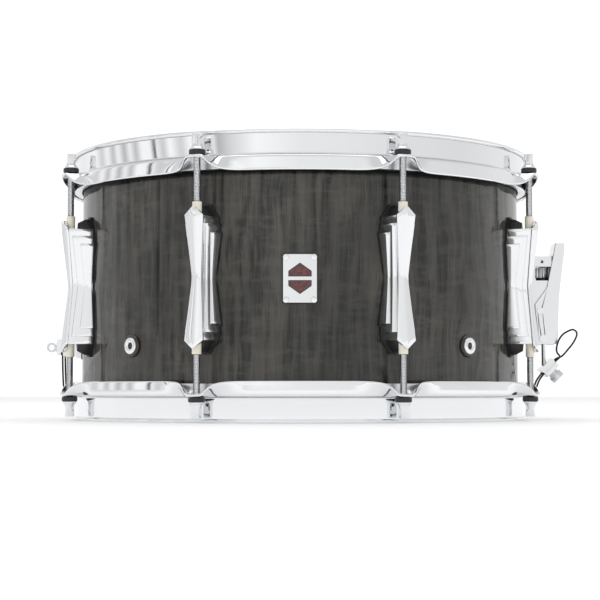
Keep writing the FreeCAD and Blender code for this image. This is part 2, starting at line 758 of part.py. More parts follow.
def make_throwoff_body():
    """Base plate and two cheeks with a channel for the carriage, and a window for the tension knob."""
    body = new_body("throwoff_body_casting")
    base = rectangle(sketch_on(body, "YZ_Plane", "Dim.lug_root"), "-Dim.strainer_half",
                     "Dim.strainer_half", "Dim.strainer_low", "Dim.strainer_high")
    pad(body, base, "Dim.mount_face - Dim.lug_root")
    side = polygon(sketch_on(body, "XZ_Plane"), STRAINER_SIDE)
    pad(body, side, "Dim.cheek_half * 2", both=True)
    channel = rectangle(sketch_on(body, "XY_Plane", "50"),
                        "Dim.channel_back", "Dim.beyond", "-Dim.channel_half", "Dim.channel_half")
    pocket(body, channel, "Dim.channel_top - 50", reverse=True)
    window = rectangle(sketch_on(body, "XZ_Plane"), "Dim.window_back", "Dim.beyond",
                       "Dim.window_low", "Dim.window_high")
    pocket(body, window, "60", both=True)
    eye = circle(sketch_on(body, "XZ_Plane"), "Dim.eye_x", "Dim.eye_z", "Dim.eye_radius")
    pocket(body, eye, "60", both=True)
    spindle = circle(sketch_on(body, "XY_Plane", "105"), "Dim.knob_x", "0", "Dim.spindle_bore")
    pocket(body, spindle, "130 - 105", reverse=True)
    pivot = circle(sketch_on(body, "XZ_Plane"), "Dim.pivot_x", "Dim.pivot_z", "Dim.spindle_bore")
    pocket(body, pivot, "60", both=True)
    screws = sketch_on(body, "YZ_Plane", "Dim.lug_root")
    for level in ("Dim.strainer_screw_low", "Dim.strainer_screw_high"):
        circle(screws, "0", level, "Dim.screw_radius + 0.1")
    pocket(body, screws, "Dim.mount_overlap - Dim.lug_root", reverse=True)
    between_radii(body, SEAT, None, "200")
    keep(body, "throwoff_body")


def make_lever():
    """The outer channel of the throw-off with its handle, open at the bottom so that it clears the post."""
    body = new_body("throwoff_lever_casting")
    side = polygon(sketch_on(body, "XZ_Plane"), LEVER_SIDE)
    pad(body, side, "Dim.lever_half * 2", both=True)
    channel = polygon(sketch_on(body, "XZ_Plane"), LEVER_HOLLOW)
    pocket(body, channel, "Dim.lever_inner * 2", both=True)
    notch = rectangle(sketch_on(body, "YZ_Plane", "200"), "-Dim.notch_half", "Dim.notch_half",
                      "50", "Dim.notch_high")
    pocket(body, notch, "30", reverse=True)
    holes = sketch_on(body, "XZ_Plane")
    circle(holes, "Dim.pivot_x", "Dim.pivot_z", "Dim.spindle")
    circle(holes, "Dim.rivet_x", "Dim.rivet_z", "Dim.spindle")
    pocket(body, holes, "60", both=True)
    keep(body, "throwoff_lever")


def make_lever_pins():
    """Two stub pins that the lever turns on and two rivets, all fixed in the lever's cheeks."""
    shapes = []
    for side, turn in (("front", 90), ("rear", -90)):
        sign = "-" if side == "front" else ""
        stubs = (("pivot", "Dim.pivot_x", "Dim.pivot_z", "Dim.channel_half", "Dim.pivot_head"),
                 ("rivet", "Dim.rivet_x", "Dim.rivet_z", "(Dim.lever_inner + 0.1)", "Dim.rivet_head"))
        for name, x, z, start, head in stubs:
            stub = cylinder(f"{name}_{side}", "Dim.spindle", f"Dim.lever_half - {start}",
                            x, f"{sign}{start}", z, V(1, 0, 0), turn)
            cap = cylinder(f"{name}_{side}_head", head, "Dim.head_height",
                           x, f"{sign}Dim.lever_half", z, V(1, 0, 0), turn)
            shapes.append(fused(f"{name}_{side}_pin", [stub, cap]))
    group = doc.addObject("Part::Compound", "throwoff_pins")
    group.Links = shapes
    keep(group, "throwoff_pins")


def clamp_corner(along, across):
    """Expressions for a point of the side view: along the cord, up and outwards, and across it."""
    root_half = f"{math.sqrt(0.5)}"
    x = f"Dim.clamp_x + (({along}) + ({across})) * {root_half}"
    z = f"Dim.clamp_z + (({along}) - ({across})) * {root_half}"
    return x, z


def clamp_slab(sketch, near, far, half):
    """A slab of the clamp seen from the side, between two distances from the cord's plane."""
    corners = ((f"-({half})", near), (half, near), (half, far), (f"-({half})", far))
    return polygon(sketch, [clamp_corner(along, across) for along, across in corners])


def clamp_cylinder(name, radius, near, far):
    """A cylinder on the clamp's axis, between two distances from the cord's plane."""
    x, z = clamp_corner("0", near)
    return cylinder(name, radius, f"{far} - ({near})", x, "0", z, V(0, 1, 0), 135)


def make_carriage():
    """Sliding block in the throw-off's channel, its post and the fixed jaw of the cord clamp."""
    body = new_body("carriage_block")
    block = rectangle(sketch_on(body, "XY_Plane", "Dim.slide_low"), "Dim.channel_back + Dim.slide_clearance",
                      "Dim.slide_front", "-Dim.channel_half + Dim.slide_clearance",
                      "Dim.channel_half - Dim.slide_clearance")
    pad(body, block, "Dim.slide_high - Dim.slide_low")
    bore = circle(sketch_on(body, "XY_Plane", "80"), "Dim.knob_x", "0", "Dim.spindle_bore")
    pocket(body, bore, "40", reverse=True)
    jaw = clamp_slab(sketch_on(body, "XZ_Plane"),
                     "-Dim.cord_gap - Dim.clamp_plate", "-Dim.cord_gap", "Dim.clamp_half")
    pad(body, jaw, "Dim.clamp_half_width * 2", both=True)
    post = circle(sketch_on(body, "XY_Plane", "Dim.post_low"), "Dim.post_x", "0", "Dim.post_radius")
    pad(body, post, "Dim.slide_low + 2 - Dim.post_low")
    threaded = clamp_cylinder("carriage_thread", "Dim.spindle_bore", "-Dim.cord_gap - Dim.thread_depth", "2")
    keep(cut("carriage", body, threaded), "carriage")


def make_clamp_plate():
    """The loose jaw of the throw-off's cord clamp."""
    body = new_body("throwoff_jaw")
    slab = clamp_slab(sketch_on(body, "XZ_Plane"),
                      "Dim.cord_gap", "Dim.cord_gap + Dim.clamp_plate", "Dim.clamp_half")
    pad(body, slab, "Dim.clamp_half_width * 2", both=True)
    bore = clamp_cylinder("jaw_bore", "Dim.spindle_bore", "-2", "9")
    keep(cut("throwoff_clamp_plate", body, bore), "throwoff_clamp_plate")


def make_clamp_knob():
    """Thumb screw of the cord clamp: a shank, a collar and a lobed head."""
    face = "(Dim.cord_gap + Dim.clamp_plate)"
    shank = clamp_cylinder("clamp_shank", "Dim.spindle", "-Dim.cord_gap - 3", f"{face} + 4")
    collar = clamp_cylinder("clamp_collar", "Dim.clamp_collar", face, f"{face} + Dim.clamp_collar_height")
    head = clamp_cylinder("clamp_head", "Dim.clamp_head", f"{face} + Dim.clamp_collar_height",
                          f"{face} + Dim.clamp_collar_height + Dim.clamp_head_height")
    keep(fused("throwoff_clamp_knob", [shank, collar, head]), "throwoff_clamp_knob")


def make_tension_knob():
    """Fluted knob on a spindle, between the two blocks of the throw-off."""
    body = new_body("tension_knob_turning")
    disc = circle(sketch_on(body, "XY_Plane", "Dim.knob_low"), "0", "0", "Dim.knob_radius")
    pad(body, disc, "Dim.knob_high - Dim.knob_low")
    flute = circle(sketch_on(body, "XY_Plane", "Dim.knob_low"),
                   "Dim.knob_radius + Dim.flute_radius - Dim.flute_depth", "0", "Dim.flute_radius")
    around(body, [pocket(body, flute, "20", reverse=True)], count="8")
    spindle = circle(sketch_on(body, "XY_Plane", "Dim.spindle_low"), "0", "0", "Dim.spindle")
    pad(body, spindle, "Dim.spindle_high - Dim.spindle_low")
    keep(place(body, x="Dim.knob_x"), "tension_knob")


def make_butt():
    """Butt plate: gasket, body, loose jaw and ring-headed screw, built at azimuth 0 and turned to -X."""
    gasket = new_body("butt_gasket_sheet")
    outline = rectangle(sketch_on(gasket, "YZ_Plane", "Dim.lug_root"), "-Dim.butt_gasket_half",
                        "Dim.butt_gasket_half", "Dim.butt_gasket_low", "Dim.butt_gasket_high")
    body = new_body("butt_body_casting")
    base = rectangle(sketch_on(body, "YZ_Plane", "Dim.lug_root"), "-Dim.butt_half",
                     "Dim.butt_half", "Dim.butt_low", "Dim.butt_high")
    screws = sketch_on(body, "YZ_Plane", "Dim.lug_root")
    for level in ("Dim.butt_screw_low", "Dim.butt_screw_high"):
        circle(outline, "0", level, "Dim.screw_radius + 0.1")
        circle(screws, "0", level, "Dim.screw_radius + 0.1")
    pad(gasket, outline, "20")
    between_radii(gasket, "Dim.shell_radius", SEAT, "200")
    keep(place(gasket, turn=180), "butt_gasket")
    pad(body, base, "Dim.mount_face - Dim.lug_root")
    side = polygon(sketch_on(body, "XZ_Plane"), BUTT_SIDE)
    pad(body, side, "Dim.butt_block_half * 2", both=True)
    pocket(body, screws, "Dim.mount_overlap - Dim.lug_root", reverse=True)
    thread = circle(sketch_on(body, "YZ_Plane", "Dim.butt_thread_back"), "0",
                    "Dim.butt_screw_z", "Dim.spindle_bore")
    pocket(body, thread, "20", reverse=True)
    between_radii(body, SEAT, None, "200")
    keep(place(body, turn=180), "butt_body")
    jaw = new_body("butt_jaw")
    back = "(Dim.butt_face + 2 * Dim.cord_gap)"
    face = rectangle(sketch_on(jaw, "YZ_Plane", back), "-Dim.butt_jaw_half", "Dim.butt_jaw_half",
                     "Dim.butt_jaw_low", "Dim.butt_jaw_high")
    circle(face, "0", "Dim.butt_screw_z", "Dim.spindle_bore")
    pad(jaw, face, "Dim.butt_jaw")
    keep(place(jaw, turn=180), "butt_clamp_plate")
    front = f"({back} + Dim.butt_jaw)"
    screw = new_body("butt_screw_turning")
    shank = circle(sketch_on(screw, "YZ_Plane", "Dim.butt_shank_back"), "0",
                   "Dim.butt_screw_z", "Dim.spindle")
    pad(screw, shank, f"{front} + 1 - Dim.butt_shank_back")
    collar = circle(sketch_on(screw, "YZ_Plane", front), "0", "Dim.butt_screw_z", "Dim.butt_collar")
    pad(screw, collar, "Dim.butt_collar_height")
    reach = f"{front} + Dim.butt_eye_reach"
    eye = circle(sketch_on(screw, "XZ_Plane"), reach, "Dim.butt_screw_z", "Dim.butt_eye_outer")
    circle(eye, reach, "Dim.butt_screw_z", "Dim.butt_eye_inner")
    pad(screw, eye, "Dim.butt_eye_half * 2", both=True)
    keep(place(screw, turn=180), "butt_clamp_screw")


def make_snares():
    """Twenty wires and the two end plates that they are soldered to."""
    wires = []
    count = int(size("Dim.wire_count"))
    for index in range(count):
        y = f"({index} - {(count - 1) / 2}) * Dim.wire_pitch"
        wires.append(cylinder(f"wire_{index}", "Dim.wire_radius", "2 * Dim.wire_half",
                              "-Dim.wire_half", y, "Dim.wire_z", V(0, 1, 0), 90))
    group = doc.addObject("Part::Compound", "snare_wires")
    group.Links = wires
    keep(group, "snare_wires")
    plates = new_body("snare_plate_group")
    outline = sketch_on(plates, "XY_Plane", "Dim.wire_z + Dim.wire_radius")
    rectangle(outline, "Dim.plate_inner", "Dim.plate_outer", "-Dim.plate_half", "Dim.plate_half")
    around(plates, [pad(plates, outline, "Dim.plate_sheet")], count="2")
    keep(plates, "snare_end_plates")


def tube(points, radius):
    """A round tube along straight runs joined by tangent arcs, with its radii and volume printed."""
    edges = []
    start = points[0]
    length = 0.0
    radii = []
    for before, corner, after in zip(points, points[1:], points[2:]):
        into, out = corner - before, after - corner
        half = into.getAngle(out) / 2
        reach = 0.45 * min(into.Length, out.Length)
        radii.append(reach / math.tan(half))
        first = corner - into.normalize() * reach
        last = corner + out.normalize() * reach
        inward = (out - into).normalize()
        middle = corner + inward * (radii[-1] / math.cos(half) - radii[-1])
        edges.append(Part.LineSegment(start, first).toShape())
        edges.append(Part.Arc(first, middle, last).toShape())
        length += (first - start).Length + radii[-1] * 2 * half
        start = last
    edges.append(Part.LineSegment(start, points[-1]).toShape())
    length += (points[-1] - start).Length
    wire = Part.Wire(edges)
    section = Part.Wire(Part.makeCircle(radius, points[0], points[1] - points[0]))
    solid = wire.makePipeShell([section], True, True)
    print("cord radii", [round(value, 1) for value in radii], "length", round(length, 1),
          "volume", round(solid.Volume / (math.pi * radius ** 2 * length), 4))
    return solid


def cord(name, routes):
    """A cord's solids, one for each route."""
    radius = size("Dim.cord_radius")
    feature = doc.addObject("Part::Feature", name)
    tubes = [tube(route, radius) for route in routes]
    feature.Shape = Part.Compound(tubes) if len(tubes) > 1 else tubes[0]
    return keep(feature, name)


def mirrored(route):
    """The same route on the other side of the XZ plane."""
    return [V(point.x, -point.y, point.z) for point in route]


def make_cords():
    """Two runs of cord at each end of the wires, and the free loop between the throw-off's two runs."""
    y = -size("Dim.cord_half")
    start = size("Dim.plate_outer")
    level = size("Dim.wire_z + Dim.wire_radius + Dim.plate_sheet / 2")
    top = [size(part) for part in clamp_corner("Dim.clamp_half", "0")]
    throwoff = [V(start, y, level), V(188, y, level), V(193.6, y, 27), V(197, y, 35.4), V(top[0], y, top[1])]
    butt = [V(-start, y, level), V(-189, y, level), V(-194.4, y, 24), V(-194.4, y, 65)]
    loop = [V(top[0], y, top[1]), V(211.7, y, 50.1), V(212.2, -15.8, 51.2), V(208, -18.3, 55),
            V(209.3, -18.3, 62.8), V(213.2, -18.3, 69.2), V(218.4, -18.3, 72.2), V(222.6, -18.3, 73.6),
            V(226, -18.3, 70), V(222.4, -18.3, 62.4), V(217.4, -18, 56.4), V(213.8, -14, 51.6),
            V(213, -1, 50.8), V(211.7, -y, 50.1), V(top[0], -y, top[1])]
    cord("snare_cords_throwoff", [throwoff, mirrored(throwoff)])
    cord("snare_cords_butt", [butt, mirrored(butt)])
    cord("snare_cord_loop", [loop])


def check_and_write():
    """Stop on any failed object or shape, then write one STEP file for each sub-part."""
    doc.recompute()
    for item in doc.Objects:
        if "Invalid" in item.State or "Error" in item.State:
            raise RuntimeError(f"{item.Name} failed: {item.State}")
    for piece in pieces:
        if piece.Shape.isNull() or not piece.Shape.isValid() or not piece.Shape.Solids:
            raise RuntimeError(f"{piece.Label} has no valid solid")
    os.makedirs("parts", exist_ok=True)
    for piece in pieces:
        piece.Shape.exportStep(f"parts/{piece.Label}.step")
    print(len(pieces), "sub-parts")


fill_sheet()
make_shell()
make_badge()
make_vents()
make_head("batter_head", "batter_flesh_hoop", f"({RIM} - Dim.rim_height)", "-")
make_head("snare_head", "snare_flesh_hoop", "Dim.rim_height", "+")
keep(place(make_hoop("top_hoop", False), z=RIM), "top_hoop")
keep(place(make_hoop("bottom_hoop", True), axis=V(1, 0, 0), turn=180), "bottom_hoop")
make_rods()
ring_group("rod_washers_top", "Dim.washer_radius", "Dim.rod_hole", f"{RIM} - Dim.flange_drop",
           "Dim.washer_height")
ring_group("rod_washers_bottom", "Dim.washer_radius", "Dim.rod_hole", "Dim.flange_drop - Dim.washer_height",
           "Dim.washer_height")
make_lugs()
ring_group("lug_nuts_top", "Dim.nut_radius", "Dim.nut_bore", "Dim.lug_middle + Dim.nut_far - Dim.nut_length",
           "Dim.nut_length")
ring_group("lug_nuts_bottom", "Dim.nut_radius", "Dim.nut_bore", "Dim.lug_middle - Dim.nut_far",
           "Dim.nut_length")
make_lug_gaskets()
make_lug_screws()
make_mount_screws()
make_throwoff_gasket()
make_throwoff_body()
make_lever()
make_lever_pins()
make_carriage()
make_clamp_plate()
make_clamp_knob()
make_tension_knob()
make_butt()
make_snares()
make_cords()
check_and_write()
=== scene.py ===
"""Dresses a packed snare drum: shell, hoops, heads, lugs, rods, throw-off, butt plate and snare wires."""

import json
import logging
import math
from dataclasses import dataclass, field
from enum import Enum
from typing import Callable, Iterable, Sequence

import bmesh
import bpy
from mathutils import Matrix, Vector


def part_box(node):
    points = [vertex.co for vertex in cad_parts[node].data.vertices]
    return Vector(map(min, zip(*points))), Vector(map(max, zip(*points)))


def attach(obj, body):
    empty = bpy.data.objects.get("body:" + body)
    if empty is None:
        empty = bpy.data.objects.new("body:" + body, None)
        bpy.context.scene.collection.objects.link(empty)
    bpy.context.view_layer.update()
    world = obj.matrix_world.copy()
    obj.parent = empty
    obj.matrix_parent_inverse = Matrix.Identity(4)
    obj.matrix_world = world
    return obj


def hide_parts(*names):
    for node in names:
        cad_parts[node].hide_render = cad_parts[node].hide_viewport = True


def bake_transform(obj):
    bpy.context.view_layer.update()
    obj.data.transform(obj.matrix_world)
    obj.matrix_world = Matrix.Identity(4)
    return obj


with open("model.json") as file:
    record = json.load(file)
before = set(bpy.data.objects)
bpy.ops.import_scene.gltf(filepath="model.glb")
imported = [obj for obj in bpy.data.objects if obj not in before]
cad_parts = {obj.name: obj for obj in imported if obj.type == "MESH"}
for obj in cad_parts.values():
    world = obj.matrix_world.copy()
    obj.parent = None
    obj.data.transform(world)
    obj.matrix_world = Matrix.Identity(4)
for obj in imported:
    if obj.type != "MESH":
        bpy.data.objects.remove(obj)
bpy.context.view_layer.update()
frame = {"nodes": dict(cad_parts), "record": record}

MM = 0.001
LOG = logging.getLogger("drum")

ROD_COUNT = 8
ROD_PITCH = 360.0 / ROD_COUNT
FIRST_ROD = ROD_PITCH / 2

Profile = list[tuple[float, float]]
Outline = Sequence[tuple[float, float]]
Point = tuple[float, float, float]
Colour = tuple[float, float, float, float]
Material = bpy.types.Material
Node = bpy.types.Node
NodeTree = bpy.types.NodeTree
Piece = bpy.types.Object
Socket = bpy.types.NodeSocket


class End(Enum):
    """Which end of the drum a piece belongs to."""

    TOP = "top"
    BOTTOM = "bottom"

    @property
    def sign(self) -> float:
        """+1 for the top, -1 for the bottom."""
        return 1.0 if self is End.TOP else -1.0


# ---------------------------------------------------------------------------------------------- meshes


def node_range(node: str, axis: int) -> tuple[float, float]:
    """Lowest and highest value of a CAD node along one axis, in millimetres."""
    low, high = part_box(node)
    return low[axis] / MM, high[axis] / MM


def node_middle(node: str, axis: int) -> float:
    """The middle of a CAD node along one axis, in millimetres."""
    return sum(node_range(node, axis)) / 2


def node_half(node: str, axis: int) -> float:
    """Half of a CAD node's size along one axis, in millimetres."""
    low, high = node_range(node, axis)
    return (high - low) / 2


def joint_point(name: str) -> Vector:
    """The point that a joint turns about, in millimetres."""
    rows = frame["record"]["behaviour"]["joints"]
    return Vector(next(row for row in rows if row["name"] == name)["pos_m"]) / MM


def placed(name: str, data: bpy.types.ID) -> Piece:
    """A new object in the scene that holds a mesh, curve, camera or light."""
    piece = bpy.data.objects.new(name, data)
    bpy.context.scene.collection.objects.link(piece)
    return piece


def mesh_object(name: str, points: Iterable[Sequence[float]], faces: Iterable[Sequence[int]]) -> Piece:
    """A new object from points in millimetres, with its doubles merged and its faces pointing outwards."""
    mesh = bpy.data.meshes.new(name)
    mesh.from_pydata([Vector(p) * MM for p in points], [], list(faces))
    piece = placed(name, mesh)
    tidy_mesh(piece)
    return piece


def tidy_mesh(piece: Piece, gap: float = 1e-6) -> None:
    """Merge doubles, drop flat faces and recalculate normals.

    Args:
        piece: the object to tidy.
        gap: how far apart merged points may be, in metres.
    """
    work = bmesh.new()
    work.from_mesh(piece.data)
    bmesh.ops.remove_doubles(work, verts=work.verts, dist=gap)
    bmesh.ops.dissolve_degenerate(work, edges=work.edges, dist=gap / 10)
    bmesh.ops.recalc_face_normals(work, faces=work.faces)
    work.to_mesh(piece.data)
    work.free()


def smooth(piece: Piece, angle: float = 35.0) -> Piece:
    """Smooth shading, with edges over an angle in degrees kept sharp."""
    piece.data.shade_smooth()
    piece.data.set_sharp_from_angle(angle=math.radians(angle))
    return piece


def grid_faces(rows: int, columns: int, wrap_rows: bool, wrap_columns: bool) -> list[list[int]]:
    """Quads over a grid of points that may close on itself either way.

    Args:
        rows: number of rows of points.
        columns: points in each row.
        wrap_rows: join the last row to the first.
        wrap_columns: join each row's last point to its first.

    Returns:
        Lists of four point numbers.
    """
    faces = []
    for row in range(rows if wrap_rows else rows - 1):
        after = (row + 1) % rows
        for column in range(columns if wrap_columns else columns - 1):
            beside = (column + 1) % columns
            faces.append([row * columns + column, row * columns + beside, after * columns + beside,
                          after * columns + column])
    return faces


def rounded(outline: Outline, radius: float, steps: int = 3) -> Profile:
    """An outline with every corner rounded, as far as its edges allow."""
    result: Profile = []
    count = len(outline)
    for index, corner in enumerate(outline):
        here = Vector(corner)
        before = Vector(outline[index - 1]) - here
        after = Vector(outline[(index + 1) % count]) - here
        reach = min(radius, before.length * 0.45, after.length * 0.45)
        start, end = here + before.normalized() * reach, here + after.normalized() * reach
        for step in range(steps + 1):
            t = step / steps
            spot = start * (1 - t) ** 2 + here * (2 * t * (1 - t)) + end * t ** 2
            result.append((spot.x, spot.y))
    return result


def rectangle(wide: float, tall: float) -> Profile:
    """The corners of a rectangle from its half width and half height."""
    return [(wide, -tall), (wide, tall), (-wide, tall), (-wide, -tall)]


def lathe(name: str, outline: Outline, segments: int, place: Matrix = Matrix()) -> Piece:
    """Turn a closed outline of (radius, height) about Z.

    Args:
        name: the new object's name.
        outline: corners in millimetres; a radius of zero lies on the axis.
        segments: steps round the full turn.
        place: where the turned piece goes, in millimetres.

    Returns:
        The new object.
    """
    points = []
    for step in range(segments):
        angle = math.tau * step / segments
        for radius, height in outline:
            points.append(place @ Vector((radius * math.cos(angle), radius * math.sin(angle), height)))
    return mesh_object(name, points, grid_faces(segments, len(outline), True, True))


def stacked(name: str, points: Sequence[Sequence[float]], count: int) -> Piece:
    """A closed piece from rows of points, each row a closed outline of so many, with both ends capped."""
    rows = len(points) // count
    ends = [list(range(count)), list(range((rows - 1) * count, rows * count))]
    return mesh_object(name, points, grid_faces(rows, count, False, True) + ends)


def prism(name: str, outline: Outline, low: float, high: float, place: Matrix = Matrix()) -> Piece:
    """A closed outline in XY pushed up from one height to another, in millimetres."""
    return stacked(name, [place @ Vector((x, y, z)) for z in (low, high) for x, y in outline], len(outline))


def wrapped(piece: Piece, radius: float, bearing: float, level: float) -> Piece:
    """Bend a flat piece round the shell.

    Args:
        piece: a mesh with X across, Y up and Z out from the shell.
        radius: the shell's radius in millimetres.
        bearing: where the piece's middle goes, in radians about the drum's axis.
        level: the height of the piece's middle in millimetres.

    Returns:
        The same object, tidied and smoothed.
    """
    for vertex in piece.data.vertices:
        across, up, out = (value / MM for value in vertex.co)
        angle = bearing + across / radius
        reach = radius + out
        vertex.co = Vector((reach * math.cos(angle), reach * math.sin(angle), level + up)) * MM
    tidy_mesh(piece)
    return smooth(piece, 30)


def joined(name: str, pieces: Sequence[Piece]) -> Piece:
    """One object that holds the meshes of several, which are removed."""
    work = bmesh.new()
    slots: list[Material] = []
    for piece in pieces:
        first = len(work.faces)
        work.from_mesh(piece.data)
        work.faces.ensure_lookup_table()
        own = list(piece.data.materials)
        for material in own:
            if material not in slots:
                slots.append(material)
        for face in work.faces[first:]:
            face.material_index = slots.index(own[face.material_index]) if own else 0
    mesh = bpy.data.meshes.new(name)
    work.to_mesh(mesh)
    work.free()
    for material in slots:
        mesh.materials.append(material)
    for piece in pieces:
        bpy.data.objects.remove(piece, do_unlink=True)
    return placed(name, mesh)


def bevel(piece: Piece, width: float, segments: int = 2, angle: float = 25.0,
          weld: bool = False) -> Piece:
    """Round a piece's edges with a modifier.

    Args:
        piece: the object.
        width: the bevel's width in millimetres.
        segments: steps across each bevel.
        angle: edges sharper than this many degrees are rounded.
        weld: merge loose faces first, as a CAD node needs.

    Returns:
        The same object.
    """
    if weld:
        piece.modifiers.new("Weld", "WELD").merge_threshold = 2e-6
    rounding = piece.modifiers.new("Edges", "BEVEL")
    rounding.width = width * MM
    rounding.segments = segments
    rounding.limit_method = "ANGLE"
    rounding.angle_limit = math.radians(angle)
    rounding.harden_normals = True
    return piece


def baked(piece: Piece) -> Piece:
    """Turn a piece's modifiers into plain mesh."""
    graph = bpy.context.evaluated_depsgraph_get()
    mesh = bpy.data.meshes.new_from_object(piece.evaluated_get(graph), depsgraph=graph)
    piece.modifiers.clear()
    piece.data = mesh
    return piece


def paint(piece: Piece, material: Material) -> Piece:
    """Give a piece one material."""
    piece.data.materials.clear()
    piece.data.materials.append(material)
    return piece


def finish(piece: Piece, body: str, slot: str, *nodes: str) -> Piece:
    """Ride a piece on its body and hide the CAD nodes that it stands for."""
    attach(piece, body)
    if nodes:
        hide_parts(*nodes)
    LOG.info("%s: %d faces on %s", piece.name, len(getattr(piece.data, "polygons", [])), body)
    return piece


def facing_out(angle: float, radius: float, up: float) -> Matrix:
    """A frame on the shell whose Z points straight out, from an angle in degrees and millimetres."""
    turned = Matrix.Rotation(math.radians(angle), 4, "Z") @ Matrix.Translation((radius, 0, up))
    return turned @ Matrix.Rotation(math.pi / 2, 4, "Y")


# ------------------------------------------------------------------------------------------- node trees


class Tree:
    """A short way to add and link nodes in a material, world, shader group or geometry tree."""

    def __init__(self, tree: NodeTree) -> None:
        """Keep the tree that nodes are added to."""
        self.tree = tree

    def add(self, kind: str, inputs: dict | None = None, **settings) -> Node:
        """Add a node.

        Args:
            kind: the node's type name.
            inputs: values or sockets by input name or number.
            settings: the node's own properties.

        Returns:
            The new node.
        """
        node = self.tree.nodes.new(kind)
        for key, value in settings.items():
            setattr(node, key, value)
        self.wire(node, inputs or {})
        return node

    def wire(self, node: Node, inputs: dict) -> None:
        """Feed several of a node's inputs, each by its name or number."""
        for key, value in inputs.items():
            self.feed(node.inputs[key], value)

    def feed(self, socket: Socket, value: object) -> None:
        """Link a socket or node into an input, or set the input's plain value."""
        if isinstance(value, Node):
            value = value.outputs[0]
        if isinstance(value, Socket):
            self.tree.links.new(value, socket)
        else:
            socket.default_value = value

    def math(self, operation: str, a: object, b: object = 0.0) -> Socket:
        """A math node's result."""
        return self.add("ShaderNodeMath", {0: a, 1: b}, operation=operation).outputs[0]

    def blend(self, factor: object, a: object, b: object) -> Socket:
        """A colour between a and b."""
        return self.add("ShaderNodeMix", {0: factor, 6: a, 7: b}, data_type="RGBA").outputs[2]

    def spread(self, value: object, low: float, high: float, to_low: float, to_high: float) -> Socket:
        """Map a value from one range to another, held at the ends."""
        names = {"Value": value, "From Min": low, "From Max": high, "To Min": to_low, "To Max": to_high}
        return self.add("ShaderNodeMapRange", names).outputs[0]

    def object_point(self, scale: Point = (1.0, 1.0, 1.0)) -> Socket:
        """Object coordinates, scaled."""
        where = self.add("ShaderNodeTexCoord").outputs["Object"]
        return self.add("ShaderNodeMapping", {"Vector": where, "Scale": scale}).outputs[0]

    def noise(self, where: object, scale: float, detail: float = 3.0, rough: float = 0.55) -> Socket:
        """A noise texture's value."""
        inputs = {"Vector": where, "Scale": scale, "Detail": detail, "Roughness": rough}
        return self.add("ShaderNodeTexNoise", inputs).outputs[0]

    def bump(self, height: object, strength: object, distance: float, invert: bool = False) -> Socket:
        """A normal bumped by a height."""
        inputs = {"Strength": strength, "Distance": distance, "Height": height}
        return self.add("ShaderNodeBump", inputs, invert=invert).outputs[0]


def shader_group(name: str, inputs: dict[str, float], outputs: dict[str, str],
                 build: Callable[[Tree, Node, Node], None]) -> NodeTree:
    """Make a shader group once.

    Args:
        name: the group's name.
        inputs: float inputs and their defaults.
        outputs: output names and their socket types.
        build: fills the group, given its tree, input node and output node.

    Returns:
        The group's tree.
    """
    group = bpy.data.node_groups.new(name, "ShaderNodeTree")
    for key, value in inputs.items():
        group.interface.new_socket(key, in_out="INPUT", socket_type="NodeSocketFloat").default_value = value
    for key, kind in outputs.items():
        group.interface.new_socket(key, in_out="OUTPUT", socket_type=kind)
    tree = Tree(group)
    build(tree, tree.add("NodeGroupInput"), tree.add("NodeGroupOutput"))
    return group


def build_handling(tree: Tree, given: Node, result: Node) -> None:
    """Faint smears and fine specks on a handled, polished surface."""
    where = tree.object_point()
    smear = tree.add("ShaderNodeTexNoise", {"Vector": where, "Scale": given.outputs["Scale"], "Detail": 5.0,
                                            "Roughness": 0.6, "Distortion": 0.8}).outputs[0]
    smear = tree.spread(smear, 0.45, 0.75, 0.0, 1.0)
    speck = tree.spread(tree.noise(where, 2600.0, 2.0), 0.68, 0.8, 0.0, 1.0)
    smear = tree.math("MULTIPLY", smear, given.outputs["Amount"])
    speck = tree.math("MULTIPLY", speck, given.outputs["Specks"])
    both = tree.math("ADD", smear, speck)
    tree.wire(result, {"Mask": both, "Roughness": tree.math("ADD", given.outputs["Base"], both)})


def build_moulding(tree: Tree, given: Node, result: Node) -> None:
    """The soft, fine unevenness of moulded or cast material, as a bump normal and a tone."""
    where = tree.object_point()
    fine = tree.noise(where, given.outputs["Scale"], 4.0, 0.6)
    tree.wire(result, {"Normal": tree.bump(fine, given.outputs["Depth"], 0.0002),
                       "Tone": tree.spread(tree.noise(where, 60.0), 0.3, 0.7, 0.0, 1.0)})


HANDLING = shader_group(
    "Handling", {"Scale": 45.0, "Base": 0.05, "Amount": 0.05, "Specks": 0.1},
    {"Mask": "NodeSocketFloat", "Roughness": "NodeSocketFloat"}, build_handling)
MOULDING = shader_group(
    "Moulding", {"Scale": 1500.0, "Depth": 0.1},
    {"Normal": "NodeSocketVector", "Tone": "NodeSocketFloat"}, build_moulding)


def handled(tree: Tree, shader: Node, rough: Sequence[float], grain: Sequence[float]) -> tuple[Socket, Socket]:
    """Wire handling and moulding into a shader's roughness and normal.

    Args:
        tree: the material's tree.
        shader: its Principled shader.
        rough: plain roughness, and how much smears and specks add to it.
        grain: the moulding's scale and depth.

    Returns:
        The mask of smears and specks, and the moulding's tone.
    """
    hand = tree.add("ShaderNodeGroup", dict(zip(("Base", "Amount", "Specks"), rough)), node_tree=HANDLING)
    cast = tree.add("ShaderNodeGroup", dict(zip(("Scale", "Depth"), grain)), node_tree=MOULDING)
    tree.wire(shader, {"Roughness": hand.outputs["Roughness"], "Normal": cast.outputs["Normal"]})
    return hand.outputs["Mask"], cast.outputs["Tone"]


